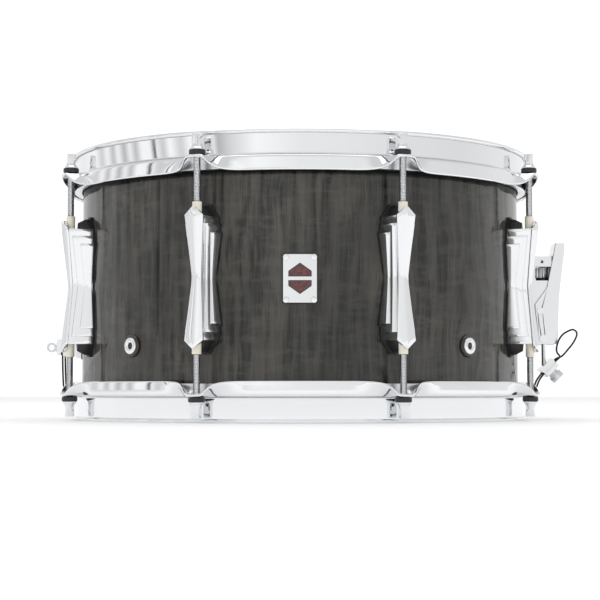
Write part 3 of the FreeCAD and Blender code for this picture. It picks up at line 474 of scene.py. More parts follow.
def new_material(name: str) -> tuple[Material, Tree, Node]:
    """An empty material with a Principled shader wired to its output."""
    material = bpy.data.materials.new(name)
    material.use_nodes = True
    material.node_tree.nodes.clear()
    tree = Tree(material.node_tree)
    shader = tree.add("ShaderNodeBsdfPrincipled")
    tree.add("ShaderNodeOutputMaterial", {"Surface": shader})
    return material, tree, shader


def rgb(red: float, green: float, blue: float) -> Colour:
    """A colour with full alpha."""
    return (red, green, blue, 1.0)


# --------------------------------------------------------------------------------------------- finishes


@dataclass(frozen=True)
class Metal:
    """A plated or bare metal, with smears, specks and a fine surface, and, where asked, painted shade where it turns
    away from the view.
    """

    name: str
    tint: Colour = rgb(0.86, 0.87, 0.88)
    dark: Colour = rgb(0.70, 0.71, 0.73)
    roughness: float = 0.04
    smears: float = 0.05
    grain: float = 1500.0
    depth: float = 0.02
    # Painted shade: how far, and towards what dark colour, the metal is darkened where its surface turns away from
    # the view.
    edge: float = 0.0
    glancing_shade_tint: Colour = rgb(0.02, 0.02, 0.02)

    def build(self) -> Material:
        """The material."""
        material, tree, shader = new_material(self.name)
        mask, _ = handled(tree, shader, (self.roughness, self.smears, self.smears * 2), (self.grain, self.depth))
        colour = tree.blend(mask, self.tint, self.dark)
        # Painted shade: the colour darkens towards a dark tint where the surface turns away from the view, deepening
        # thread flanks and sides.
        if self.edge:
            turned = tree.add("ShaderNodeLayerWeight", {"Blend": 0.5}).outputs["Facing"]
            colour = tree.blend(tree.spread(turned, 0.2, 0.75, 0.0, self.edge), colour, self.glancing_shade_tint)
        tree.wire(shader, {"Base Color": colour, "Metallic": 1.0})
        return material


@dataclass(frozen=True)
class Moulded:
    """Nylon, rubber or another moulded material."""

    name: str
    tint: Colour
    shade: Colour
    roughness: float = 0.45
    coat: float = 0.0
    grain: float = 1800.0
    depth: float = 0.25
    smears: float = 0.12
    specks: float = 0.1

    def build(self) -> Material:
        """The material."""
        material, tree, shader = new_material(self.name)
        _, tone = handled(tree, shader, (self.roughness, self.smears, self.specks), (self.grain, self.depth))
        tree.wire(shader, {"Base Color": tree.blend(tone, self.tint, self.shade),
                           "Coat Weight": self.coat, "Coat Roughness": 0.05})
        return material


@dataclass(frozen=True)
class Veneer:
    """Grey stained, figured veneer with its grain running up the shell, under clear lacquer, with painted shade near
    its top: near black and with thinner lacquer under the top hoop.
    """

    name: str = "lacquered veneer"
    pale: Colour = rgb(0.100, 0.096, 0.084)
    middle: Colour = rgb(0.068, 0.065, 0.056)
    deep: Colour = rgb(0.006, 0.006, 0.005)
    # Near black: the colour of the painted shade under the top hoop.
    black: Colour = rgb(0.001, 0.001, 0.001)
    sway: float = 0.02
    # Painted shade under the top hoop: the heights, in metres, where it starts and where it is full, and its
    # strength; the lacquer thins by as much.
    painted_shade_from: float = 0.1795
    painted_shade_to: float = 0.1825
    shade: float = 0.9
    lacquer: float = 0.75

    def build(self) -> Material:
        """The material."""
        material, tree, shader = new_material(self.name)
        sway = tree.math("MULTIPLY", tree.noise(tree.object_point((1.0, 1.0, 0.6)), 22.0, 2.0, 0.5), self.sway)
        where = tree.add("ShaderNodeVectorMath", {
            0: tree.object_point((1.0, 1.0, 0.08)), 1: tree.add("ShaderNodeCombineXYZ", {0: sway, 1: sway})},
            operation="ADD").outputs[0]
        figure = tree.noise(where, 170.0, 3.0, 0.5)
        streak = tree.noise(tree.object_point((1.0, 1.0, 0.03)), 620.0, 5.0, 0.65)
        curl = tree.noise(tree.object_point((0.3, 0.3, 1.0)), 150.0, 4.0, 0.6)
        cloud = tree.noise(tree.object_point(), 14.0, 2.0, 0.5)
        pores = tree.noise(tree.object_point((1.0, 1.0, 0.03)), 1500.0, 2.0, 0.5)
        colour = tree.blend(tree.spread(figure, 0.38, 0.62, 0.0, 1.0), self.deep, self.middle)
        for pattern, low, high, strength, tint in (
                (streak, 0.46, 0.68, 0.4, self.pale), (curl, 0.46, 0.66, 0.45, self.pale),
                (cloud, 0.42, 0.62, 0.45, self.deep), (pores, 0.58, 0.68, 0.5, self.deep)):
            colour = tree.blend(tree.spread(pattern, low, high, 0.0, strength), colour, tint)
        # Painted shade: above a given height the colour goes to near black and the lacquer thins, standing in for the
        # shadow and dark reflection under the top hoop.
        height = tree.add("ShaderNodeSeparateXYZ", {0: tree.object_point()}).outputs[2]
        shade = tree.spread(height, self.painted_shade_from, self.painted_shade_to, 0.0, self.shade)
        tree.wire(shader, {
            "Base Color": tree.blend(shade, colour, self.black), "Specular IOR Level": 0.12,
            "Roughness": tree.spread(streak, 0.3, 0.7, 0.34, 0.5), "Normal": tree.bump(cloud, 0.05, 0.0005),
            "Coat Weight": tree.math("SUBTRACT", self.lacquer, shade), "Coat Roughness": 0.03, "Coat IOR": 1.5})
        return material


@dataclass(frozen=True)
class Film:
    """A drum head's film: sprayed white, or clear and faintly hazy."""

    name: str
    tint: Colour
    coated: bool

    def build(self) -> Material:
        """The material."""
        material, tree, shader = new_material(self.name)
        where = tree.object_point()
        spray = tree.noise(where, 900.0, 5.0, 0.7)
        haze = tree.noise(where, 12.0, 4.0, 0.5)
        grey = tuple(0.9 * value for value in self.tint[:3]) + (1.0,)
        low, high, strength = (0.5, 0.75, 0.5) if self.coated else (0.12, 0.3, 0.05)
        tree.wire(shader, {
            "Base Color": tree.blend(tree.spread(haze, 0.35, 0.7, 0.0, 1.0), self.tint, grey),
            "Roughness": tree.spread(spray, 0.3, 0.7, low, high), "Normal": tree.bump(spray, strength, 0.0001),
            "Alpha": 1.0 if self.coated else 0.5})
        return material


@dataclass(frozen=True)
class Enamel:
    """Marbled dark red enamel."""

    name: str = "marbled enamel"
    deep: Colour = rgb(0.035, 0.006, 0.006)
    bright: Colour = rgb(0.17, 0.035, 0.03)

    def build(self) -> Material:
        """The material."""
        material, tree, shader = new_material(self.name)
        swirl = tree.add("ShaderNodeTexNoise", {"Vector": tree.object_point(), "Scale": 420.0, "Detail": 4.0,
                                                "Distortion": 1.6}).outputs[0]
        tree.wire(shader, {
            "Base Color": tree.blend(tree.spread(swirl, 0.35, 0.65, 0.0, 1.0), self.deep, self.bright),
            "Roughness": tree.spread(swirl, 0.3, 0.7, 0.18, 0.3), "Coat Weight": 0.6})
        return material


@dataclass(frozen=True)
class Braid:
    """Black braided cord, the hollows of its plait painted darker as painted shade."""

    name: str = "black braid"
    raised: Colour = rgb(0.02, 0.02, 0.021)
    sunk_painted_shade: Colour = rgb(0.004, 0.004, 0.004)

    def build(self) -> Material:
        """The material."""
        material, tree, shader = new_material(self.name)
        plait = tree.add("ShaderNodeTexVoronoi", {"Vector": tree.object_point(), "Scale": 2400.0}).outputs[0]
        # Painted shade: the sunk parts of the plait, the same ones the bump pushes in, get a darker colour.
        tree.wire(shader, {
            "Base Color": tree.blend(tree.spread(plait, 0.1, 0.7, 0.0, 1.0), self.raised, self.sunk_painted_shade),
            "Roughness": tree.spread(plait, 0.1, 0.7, 0.5, 0.8), "Normal": tree.bump(plait, 0.6, 0.0001, True)})
        return material


def made(recipe: Metal | Moulded | Veneer | Film | Enamel | Braid) -> Material:
    """A field of Finishes, whose material is built when the finishes are."""
    return field(default_factory=recipe.build)


@dataclass
class Finishes:
    """Every material of the drum, built once."""

    veneer: Material = made(Veneer())
    chrome: Material = made(Metal("hoop chrome"))
    # A dark copy of the hoop chrome: painted shade for the crease under each hoop's lip.
    painted_shade_chrome: Material = made(Metal("shaded chrome", rgb(0.16, 0.16, 0.17), rgb(0.1, 0.1, 0.11)))
    cast_chrome: Material = made(Metal("lug chrome", depth=0.03))
    # The plated steel gets painted shade at its glancing sides, which darkens the flanks of the threads.
    steel: Material = made(Metal("plated steel", rgb(0.88, 0.89, 0.9), rgb(0.6, 0.6, 0.62), 0.14, 0.1, edge=0.9))
    wire: Material = made(Metal("snare wire", rgb(0.7, 0.7, 0.7), rgb(0.45, 0.45, 0.45), 0.2, 0.1))
    satin: Material = made(Metal(
        "satin plate", rgb(0.72, 0.73, 0.74), rgb(0.55, 0.56, 0.57), 0.3, 0.1, 1400.0, 0.12))
    pale_satin: Material = made(Metal(
        "pale satin plate", rgb(0.84, 0.85, 0.86), rgb(0.7, 0.7, 0.72), 0.2, 0.06, 1400.0, 0.05))
    aluminium: Material = made(Metal(
        "aluminium channel", rgb(0.78, 0.79, 0.8), rgb(0.6, 0.6, 0.62), 0.28, 0.1, 700.0, 0.08))
    nylon: Material = made(Moulded("black nylon", rgb(0.012, 0.012, 0.013), rgb(0.02, 0.02, 0.021), 0.4))
    ivory: Material = made(Moulded("ivory nylon", rgb(0.90, 0.86, 0.74), rgb(0.82, 0.76, 0.62), 0.38, 0.1))
    rubber: Material = made(Moulded("black gasket", rgb(0.008, 0.008, 0.008), rgb(0.016, 0.016, 0.016), 0.5))
    dark_ring: Material = made(Moulded("dark grommet", rgb(0.03, 0.012, 0.009), rgb(0.012, 0.006, 0.005), 0.3, 0.5))
    enamel: Material = made(Enamel())
    black_enamel: Material = made(Moulded(
        "black enamel", rgb(0.006, 0.006, 0.006), rgb(0.01, 0.01, 0.01), 0.25, 0.6))
    coated: Material = made(Film("coated film", rgb(0.86, 0.86, 0.84), True))
    clear: Material = made(Film("clear film", rgb(0.75, 0.77, 0.78), False))
    braid: Material = made(Braid())


# --------------------------------------------------------------------------------------- geometry trees


class GeometryTree(Tree):
    """A Geometry Nodes tree with named size inputs, run on an empty object and turned into plain mesh."""

    def __init__(self, name: str, sizes: dict[str, float]) -> None:
        """Make the tree and its inputs.

        Args:
            name: the tree's name.
            sizes: input names and values; whole numbers become integer inputs.
        """
        group = bpy.data.node_groups.new(name, "GeometryNodeTree")
        super().__init__(group)
        group.interface.new_socket("Geometry", in_out="INPUT", socket_type="NodeSocketGeometry")
        group.interface.new_socket("Material", in_out="INPUT", socket_type="NodeSocketMaterial")
        for key, value in sizes.items():
            kind = "NodeSocketInt" if isinstance(value, int) else "NodeSocketFloat"
            group.interface.new_socket(key, in_out="INPUT", socket_type=kind)
        group.interface.new_socket("Geometry", in_out="OUTPUT", socket_type="NodeSocketGeometry")
        self.sizes = sizes
        self.given = self.add("NodeGroupInput")
        self.result = self.add("NodeGroupOutput")

    def size(self, name: str) -> Socket:
        """One of the tree's inputs."""
        return self.given.outputs[name]

    def close(self, shape: object) -> None:
        """End the tree: realize instances and set the material."""
        real = self.add("GeometryNodeRealizeInstances", {0: shape})
        dressed = self.add("GeometryNodeSetMaterial", {"Geometry": real, "Material": self.given.outputs["Material"]})
        self.feed(self.result.inputs[0], dressed)

    def make(self, name: str, material: Material, **sizes: float) -> Piece:
        """Run the tree and keep its mesh.

        Args:
            name: the new object's name.
            material: what the tree's Material input gets.
            sizes: values that replace the defaults.

        Returns:
            A plain mesh object.
        """
        piece = mesh_object(name, [(0, 0, 0)], [])
        modifier = piece.modifiers.new("Shape", "NODES")
        modifier.node_group = self.tree
        values = {**self.sizes, **sizes, "Material": material}
        for item in self.tree.interface.items_tree:
            if item.in_out == "INPUT" and item.name in values:
                modifier[item.identifier] = values[item.name]
        baked(piece)
        tidy_mesh(piece)
        return piece


def thread_tree() -> GeometryTree:
    """A closed threaded shank that hangs from z = 0, its radius following a helix."""
    tree = GeometryTree("Threaded shank", {"Radius": 0.00275, "Depth": 0.00055, "Pitch": 0.00106, "Length": 0.052,
                                           "Rows": 340, "Columns": 21})
    grid = tree.add("GeometryNodeMeshGrid", {"Size X": 1.0, "Size Y": 1.0, "Vertices X": tree.size("Rows"),
                                             "Vertices Y": tree.size("Columns")})
    place = tree.add("ShaderNodeSeparateXYZ", {0: tree.add("GeometryNodeInputPosition")})
    along = tree.math("ADD", place.outputs[0], 0.5)
    around = tree.math("ADD", place.outputs[1], 0.5)
    height = tree.math("MULTIPLY", along, tree.size("Length"))
    turns = tree.math("ADD", tree.math("DIVIDE", height, tree.size("Pitch")), around)
    groove = tree.math("MULTIPLY", tree.math("PINGPONG", turns, 0.5), 2.0)
    radius = tree.math("SUBTRACT", tree.size("Radius"), tree.math("MULTIPLY", groove, tree.size("Depth")))
    top = tree.math("MINIMUM", tree.math("MULTIPLY", along, tree.size("Rows")), 1.0)
    left = tree.math("MULTIPLY", tree.math("SUBTRACT", 1.0, along), tree.size("Rows"))
    tip = tree.math("MINIMUM", tree.math("POWER", tree.math("DIVIDE", left, 6.0), 0.5), 1.0)
    radius = tree.math("MULTIPLY", tree.math("MULTIPLY", radius, top), tip)
    angle = tree.math("MULTIPLY", around, math.tau)
    spot = tree.add("ShaderNodeCombineXYZ", {
        0: tree.math("MULTIPLY", radius, tree.math("COSINE", angle)),
        1: tree.math("MULTIPLY", radius, tree.math("SINE", angle)),
        2: tree.math("MULTIPLY", height, -1.0)})
    shaped = tree.add("GeometryNodeSetPosition", {"Geometry": grid, "Position": spot})
    tree.close(shaped)
    return tree


def ring_tree() -> GeometryTree:
    """Equal rings, such as washers or sleeves, one at each of a number of places round a circle."""
    tree = GeometryTree("Rings on a circle", {
        "Count": ROD_COUNT, "Circle": 0.1943, "Turn": math.radians(FIRST_ROD), "Bore": 0.003, "Outer": 0.006,
        "Height": 0.0036, "Level": 0.0, "Round": 0.0005, "Steps": 40})
    middle = tree.math("DIVIDE", tree.math("ADD", tree.size("Bore"), tree.size("Outer")), 2.0)
    width = tree.math("SUBTRACT", tree.size("Outer"), tree.size("Bore"))
    path = tree.add("GeometryNodeCurvePrimitiveCircle", {"Radius": middle, "Resolution": tree.size("Steps")},
                    mode="RADIUS")
    section = tree.add("GeometryNodeCurvePrimitiveQuadrilateral", {"Width": width, "Height": tree.size("Height")},
                       mode="RECTANGLE")
    soft = tree.add("GeometryNodeFilletCurve", {"Curve": section, "Radius": tree.size("Round"), "Count": 3,
                                                "Limit Radius": True}, mode="POLY")
    ring = tree.add("GeometryNodeCurveToMesh", {"Curve": path, "Profile Curve": soft})
    circle = tree.add("GeometryNodeMeshCircle", {"Vertices": tree.size("Count"), "Radius": tree.size("Circle")})
    lift = tree.add("ShaderNodeCombineXYZ", {2: tree.size("Level")})
    spin = tree.add("ShaderNodeCombineXYZ", {2: tree.size("Turn")})
    placed = tree.add("GeometryNodeTransform", {"Geometry": circle, "Translation": lift, "Rotation": spin})
    copies = tree.add("GeometryNodeInstanceOnPoints", {"Points": placed, "Instance": ring})
    tree.close(copies)
    return tree


def coil_tree() -> GeometryTree:
    """Coiled snare wires side by side, each a helix along X."""
    tree = GeometryTree("Snare coils", {"Count": 20, "Spacing": 0.0021, "Length": 0.3, "Turns": 100.0,
                                        "Radius": 0.0006, "Wire": 0.0002, "Level": 0.0})
    radius = tree.size("Radius")
    helix = tree.add("GeometryNodeCurveSpiral", {"Resolution": 8, "Rotations": tree.size("Turns"),
                                                 "Start Radius": radius, "End Radius": radius,
                                                 "Height": tree.size("Length")})
    section = tree.add("GeometryNodeCurvePrimitiveCircle", {"Radius": tree.size("Wire"), "Resolution": 4},
                       mode="RADIUS")
    coil = tree.add("GeometryNodeCurveToMesh", {"Curve": helix, "Profile Curve": section, "Fill Caps": True})
    back = tree.add("ShaderNodeCombineXYZ", {0: tree.math("MULTIPLY", tree.size("Length"), -0.5)})
    lying = tree.add("GeometryNodeTransform", {"Geometry": coil, "Translation": back,
                                               "Rotation": (0.0, math.pi / 2, 0.0)})
    width = tree.math("MULTIPLY", tree.size("Spacing"), tree.math("SUBTRACT", tree.size("Count"), 1.0))
    start = tree.add("ShaderNodeCombineXYZ", {1: tree.math("MULTIPLY", width, -0.5), 2: tree.size("Level")})
    step = tree.add("ShaderNodeCombineXYZ", {1: tree.size("Spacing")})
    line = tree.add("GeometryNodeMeshLine", {"Count": tree.size("Count"), "Start Location": start, "Offset": step})
    copies = tree.add("GeometryNodeInstanceOnPoints", {"Points": line, "Instance": lying})
    tree.close(copies)
    return tree


# ---------------------------------------------------------------------------------------- sub-assemblies


@dataclass
class Shell:
    """The wood shell, its vents and its badge."""

    finishes: Finishes
    wall: float = 7.2
    edge: float = 2.2
    chamfer: float = 5.0
    steps: int = 360
    vent_angles: tuple[float, float] = (-45.0, -135.0)
    vent_bore: float = 2.45
    vent_tube: float = 3.6

    @property
    def radius(self) -> float:
        """Outer radius of the shell, in millimetres."""
        return node_range("shell", 0)[1]

    def build(self) -> None:
        """Make the shell, vents and badge."""
        low, high = node_range("shell", 2)
        inner = self.radius - self.wall
        peak = self.radius - self.edge
        outline = [(inner, low + self.chamfer), (peak, low), (self.radius, low + self.edge),
                   (self.radius, high - self.edge), (peak, high), (inner, high - self.chamfer)]
        shell = paint(smooth(lathe("drum_shell", rounded(outline, 0.6), self.steps)), self.finishes.veneer)
        finish(shell, "drum", "lacquered_veneer", "shell")
        self.build_vents()
        Badge(self.finishes, self.radius).build()

    def build_vents(self) -> None:
        """Two eyelets, each on a dark ring."""
        level = node_middle("vent_rings", 2)
        wide, brim = node_half("vent_rings", 2), node_half("vent_eyelets", 2)
        bore, tube = self.vent_bore, self.vent_tube
        ring = [(tube + 0.1, -0.6), (wide, -0.6), (wide, 1.0), (wide - 0.9, 2.2), (tube + 0.1, 2.2)]
        inner = -self.wall - 2.0
        eyelet = [(bore, inner), (brim, inner), (brim, inner + 1.4), (tube, inner + 1.4), (tube, 2.2),
                  (brim, 2.2), (brim - 0.5, 3.0), (bore + 1.2, 3.4), (bore, 2.6)]
        for name, outline, material, slot, node in (
                ("vent_ring", ring, self.finishes.dark_ring, "dark_ring", "vent_rings"),
                ("vent_eyelet", eyelet, self.finishes.chrome, "bright_metal", "vent_eyelets")):
            pair = [smooth(lathe(f"{name}_{angle:.0f}", rounded(outline, 0.35), 64,
                                 facing_out(angle, self.radius, level))) for angle in self.vent_angles]
            finish(paint(joined(name + "s", pair), material), "drum", slot, node)

@dataclass
class Badge:
    """The metal badge on the front of the shell: black backing, silver plate, enamel lozenge, four screws."""

    finishes: Finishes
    radius: float
    border: float = 0.95
    corner: float = 3.0
    screw_inset: float = 3.0
    bend_step: int = 12

    def plate(self, name: str, outline: Outline, low: float, high: float) -> Piece:
        """A plate that follows the shell.

        Args:
            name: the object's name.
            outline: corners across and up, from the badge's centre, in millimetres.
            low: height of its back above the shell.
            high: height of its face above the shell.

        Returns:
            The bent plate.
        """
        work = prism(name, outline, low, high)
        cuts = bmesh.new()
        cuts.from_mesh(work.data)
        for step in range(-self.bend_step, self.bend_step + 1):
            geometry = cuts.verts[:] + cuts.edges[:] + cuts.faces[:]
            bmesh.ops.bisect_plane(cuts, geom=geometry, plane_co=(step * MM, 0, 0), plane_no=(1, 0, 0))
        cuts.to_mesh(work.data)
        cuts.free()
        return wrapped(work, self.radius, -math.pi / 2, node_middle("badge_plate", 2))

    def stack(self, name: str, slot: str, node: str, layers: Iterable[tuple]) -> None:
        """Plates on one another, joined; each has a name, an outline, a back, a face and a material."""
        plates = [paint(self.plate(*layer[:4]), layer[4]) for layer in layers]
        finish(joined(name, plates), "drum", slot, node)

    def build(self) -> None:
        """Make the badge's pieces."""
        wide, tall = node_half("badge_plate", 0), node_half("badge_plate", 2)
        inset = rectangle(wide - self.border, tall - self.border)
        self.stack("badge_sheet", "badge_metal", "badge_plate", (
            ("badge_backing", rounded(rectangle(wide, tall), self.corner, 6), -0.1, 0.7, self.finishes.rubber),
            ("badge_silver", rounded(inset, self.corner - self.border, 6), 0.5, 1.05, self.finishes.pale_satin)))
        self.stack("badge_emblem", "badge_enamel", "badge_inlay", (
            ("emblem_black", self.lozenge(8.4, 5.4, 11.4), 0.9, 1.12, self.finishes.black_enamel),
            ("emblem_red", self.lozenge(7.6, 5.0, 10.5), 1.0, 1.2, self.finishes.enamel),
            ("emblem_bar_edge", rectangle(8.4, 2.0), 1.05, 1.24, self.finishes.black_enamel),
            ("emblem_bar", rectangle(8.4, 1.3), 1.1, 1.3, self.finishes.pale_satin)))
        self.build_screws(wide - self.screw_inset, tall - self.screw_inset)

    @staticmethod
    def lozenge(wide: float, side: float, tall: float) -> Profile:
        """A six-sided lozenge from its half width, half side and half height, with rounded corners."""
        corners = [(wide, -side), (wide, side), (0, tall), (-wide, side), (-wide, -side), (0, -tall)]
        return rounded(corners, 0.5)

    def build_screws(self, wide: float, tall: float) -> None:
        """Four domed screw heads with a hollow in the middle."""
        dome = [(0, 0.8), (0, 1.0), (2.35, 1.0), (2.2, 1.5), (1.4, 1.78), (0.75, 1.85), (0.75, 1.55), (0, 1.5)]
        middle = node_middle("badge_plate", 2)
        heads = []
        for across in (-wide, wide):
            for up in (-tall, tall):
                place = facing_out(math.degrees(across / self.radius) - 90, self.radius, middle + up)
                heads.append(smooth(lathe("badge_screw", dome, 32, place)))
        finish(paint(joined("badge_screw_heads", heads), self.finishes.steel), "drum", "badge_metal", "badge_screws")


@dataclass
class Hoop:
    """A triple-flange hoop, bent from one sheet, whose skirt swings out and up into an ear at every rod."""

    finishes: Finishes
    end: End
    inner: float = 181.7
    sheet: float = 2.3
    lip: float = 187.0
    lip_height: float = 3.0
    flange: float = 18.7
    skirt: float = 188.0
    skirt_drop: float = 30.6
    ear: float = 200.9
    ear_flat: float = 6.8
    ear_reach: float = 40.0
    bend: float = 2.6
    rim_round: float = 1.0
    step_round: float = 1.3
    fold_power: float = 3.2
    fold_softness: float = 2.0
    flats: tuple[float, float] = (0.35, 0.7)
    near: float = 13.0
    fine: float = 0.25
    coarse: int = 28
    gate: tuple[float, float] = (3.6, 17.6)
    gate_half: float = 33.0
    gate_corner: float = 3.0

    def fold(self, distance: float) -> float:
        """How far the skirt is bent down at a distance along the hoop from a rod: 0 at the ear, pi/2 beyond."""
        past = distance - self.ear_flat
        soft = (past + math.sqrt(past * past + self.fold_softness)) / 2
        share = min(1.0, soft / (self.ear_reach - self.ear_flat))
        return math.pi / 2 * (1 - (1 - share) ** self.fold_power)

    def section(self, distance: float) -> Profile:
        """The sheet's closed section at a distance from a rod, as radius and drop below the rim."""
        outer = self.inner + self.sheet
        fold = self.fold(distance)
        centre = Vector((self.skirt - self.bend, -self.flange - self.bend))
        down = self.skirt_drop - self.flange - self.bend
        reach = self.ear - centre.x
        straight = down + (reach - down) * (1 - math.sin(fold))
        run = Vector((math.cos(fold), -math.sin(fold)))
        away = Vector((math.sin(fold), math.cos(fold)))
        near, far = self.bend - self.sheet, self.bend
        outline: Profile = [(self.inner, -self.flange - self.sheet), (self.inner, -self.rim_round)]
        rim = Vector((self.inner + self.rim_round, -self.rim_round))
        outline += self.arc(rim, self.rim_round, math.pi, math.pi / 2)
        tip = Vector((self.lip - self.lip_height / 2, -self.lip_height / 2))
        outline += self.arc(tip, self.lip_height / 2, math.pi / 2, -math.pi / 2, 8)
        outline.append((outer, -self.lip_height + 0.1))
        step = Vector((outer + self.step_round, -self.flange + self.step_round))
        outline += self.arc(step, self.step_round, math.pi, 3 * math.pi / 2)
        outline += self.arc(centre, far, math.pi / 2, math.pi / 2 - fold, 6)
        half = self.sheet / 2
        for share in self.flats:
            spot = centre + away * far + run * (straight - half) * share
            outline.append((spot.x, spot.y))
        edge = centre + away * (near + half) + run * (straight - half)
        turn = math.atan2(away.y, away.x)
        outline += self.arc(edge, half, turn, turn - math.pi, 8)
        for share in reversed(self.flats):
            spot = centre + away * near + run * (straight - half) * share
            outline.append((spot.x, spot.y))
        outline += self.arc(centre, near, math.pi / 2 - fold, math.pi / 2, 6)
        return outline

    @staticmethod
    def arc(centre: Vector, radius: float, start: float, end: float, steps: int = 4) -> Profile:
        """Points on an arc."""
        angles = [start + (end - start) * step / steps for step in range(steps + 1)]
        return [(centre.x + radius * math.cos(a), centre.y + radius * math.sin(a)) for a in angles]

    def angles(self) -> list[tuple[float, float]]:
        """Angles round the hoop, close together at the ears, each with its distance from the nearest rod."""
        reach = int(self.near / self.fine)
        steps = [index * self.fine for index in range(-reach, reach)]
        steps += [self.near + index * (ROD_PITCH - 2 * self.near) / self.coarse for index in range(self.coarse)]
        result = []
        for rod in range(ROD_COUNT):
            for step in steps:
                away = abs(step) if step < ROD_PITCH / 2 else ROD_PITCH - step
                result.append((FIRST_ROD + ROD_PITCH * rod + step, math.radians(away) * self.skirt))
        return result

    def build(self) -> None:
        """Make the hoop and open its snare gates."""
        node = f"{self.end.value}_hoop"
        rim = node_range(node, 2)[1 if self.end is End.TOP else 0]
        points = []
        count = 0
        for angle, distance in self.angles():
            turn = math.radians(angle)
            outline = self.section(distance)
            count = len(outline)
            for radius, drop in outline:
                points.append((radius * math.cos(turn), radius * math.sin(turn), rim + self.end.sign * drop))
        rows = len(points) // count
        hoop = mesh_object(f"{node}_steel", points, grid_faces(rows, count, True, True))
        if self.end is End.BOTTOM:
            self.open_gates(hoop)
        paint(smooth(hoop, 40), self.finishes.chrome)
        # Faces just under the rolled lip get the dark chrome: painted shade for the crease between lip and wall.
        hoop.data.materials.append(self.finishes.painted_shade_chrome)
        outer, corner = self.inner + self.sheet, self.lip - self.lip_height / 2
        for face in hoop.data.polygons:
            reach = math.hypot(face.center.x, face.center.y) / MM
            drop = abs(rim - face.center.z / MM)
            under_lip = outer < reach < corner and abs(drop - self.lip_height) < 0.2
            face.material_index = 1 if under_lip else 0
        finish(hoop, "drum", "hoop_chrome", node)

    def open_gates(self, hoop: Piece) -> None:
        """Cut the two slots that the snare cords pass through."""
        (low, high), half = self.gate, self.gate_half
        outline = rounded([(half, low), (half, high), (-half, high), (-half, low)], self.gate_corner, 5)
        upright = Matrix.Rotation(math.pi / 2, 4, "Z") @ Matrix.Rotation(math.pi / 2, 4, "X")
        cutter = prism("gate_cutter", outline, -220.0, 220.0, upright)
        cut = hoop.modifiers.new("Gate", "BOOLEAN")
        cut.object = cutter
        cut.operation = "DIFFERENCE"
        cut.solver = "EXACT"
        baked(hoop)
        bpy.data.objects.remove(cutter, do_unlink=True)
        tidy_mesh(hoop)


@dataclass
class Head:
    """A film over the bearing edge, glued into an aluminium channel."""

    finishes: Finishes
    end: End
    steps: int = 256
    film: Outline = ((0, 0), (150.0, 0), (174.6, 0), (176.3, 0.35), (177.9, 1.9), (179.6, 8.0), (180.3, 11.5),
                     (180.3, 14.5), (180.05, 14.5), (180.05, 11.5), (179.3, 8.0), (177.65, 2.05), (176.1, 0.6),
                     (174.5, 0.25), (150.0, 0.25), (0, 0.25))
    channel_inner: float = 178.75
    channel_outer: float = 184.8
    channel_wall: float = 0.9
    channel_floor: float = 1.2

    def build(self) -> None:
        """Make the film and its channel."""
        name = "batter" if self.end is End.TOP else "snare"
        node, channel = f"{name}_head", f"{name}_flesh_hoop"
        sign = self.end.sign
        face = node_range(node, 2)[1 if sign > 0 else 0]
        low, high = node_range(channel, 2)
        top, foot = (high, low) if sign > 0 else (low, high)
        sheet = [(radius, face - sign * drop) for radius, drop in self.film]
        material, slot = ((self.finishes.coated, "coated_film") if sign > 0 else (self.finishes.clear, "clear_film"))
        finish(paint(smooth(lathe(f"{name}_film", sheet, self.steps), 60), material), "drum", slot, node)
        inner, outer, wall = self.channel_inner, self.channel_outer, self.channel_wall
        floor = foot + sign * self.channel_floor
        ring = [(inner, top), (inner, foot), (outer, foot), (outer, top), (outer - wall, top), (outer - wall, floor),
                (inner + wall, floor), (inner + wall, top)]
        hoop = smooth(lathe(f"{name}_channel", rounded(ring, 0.35, 2), self.steps))
        finish(paint(hoop, self.finishes.aluminium), "drum", "flesh_aluminium", channel)


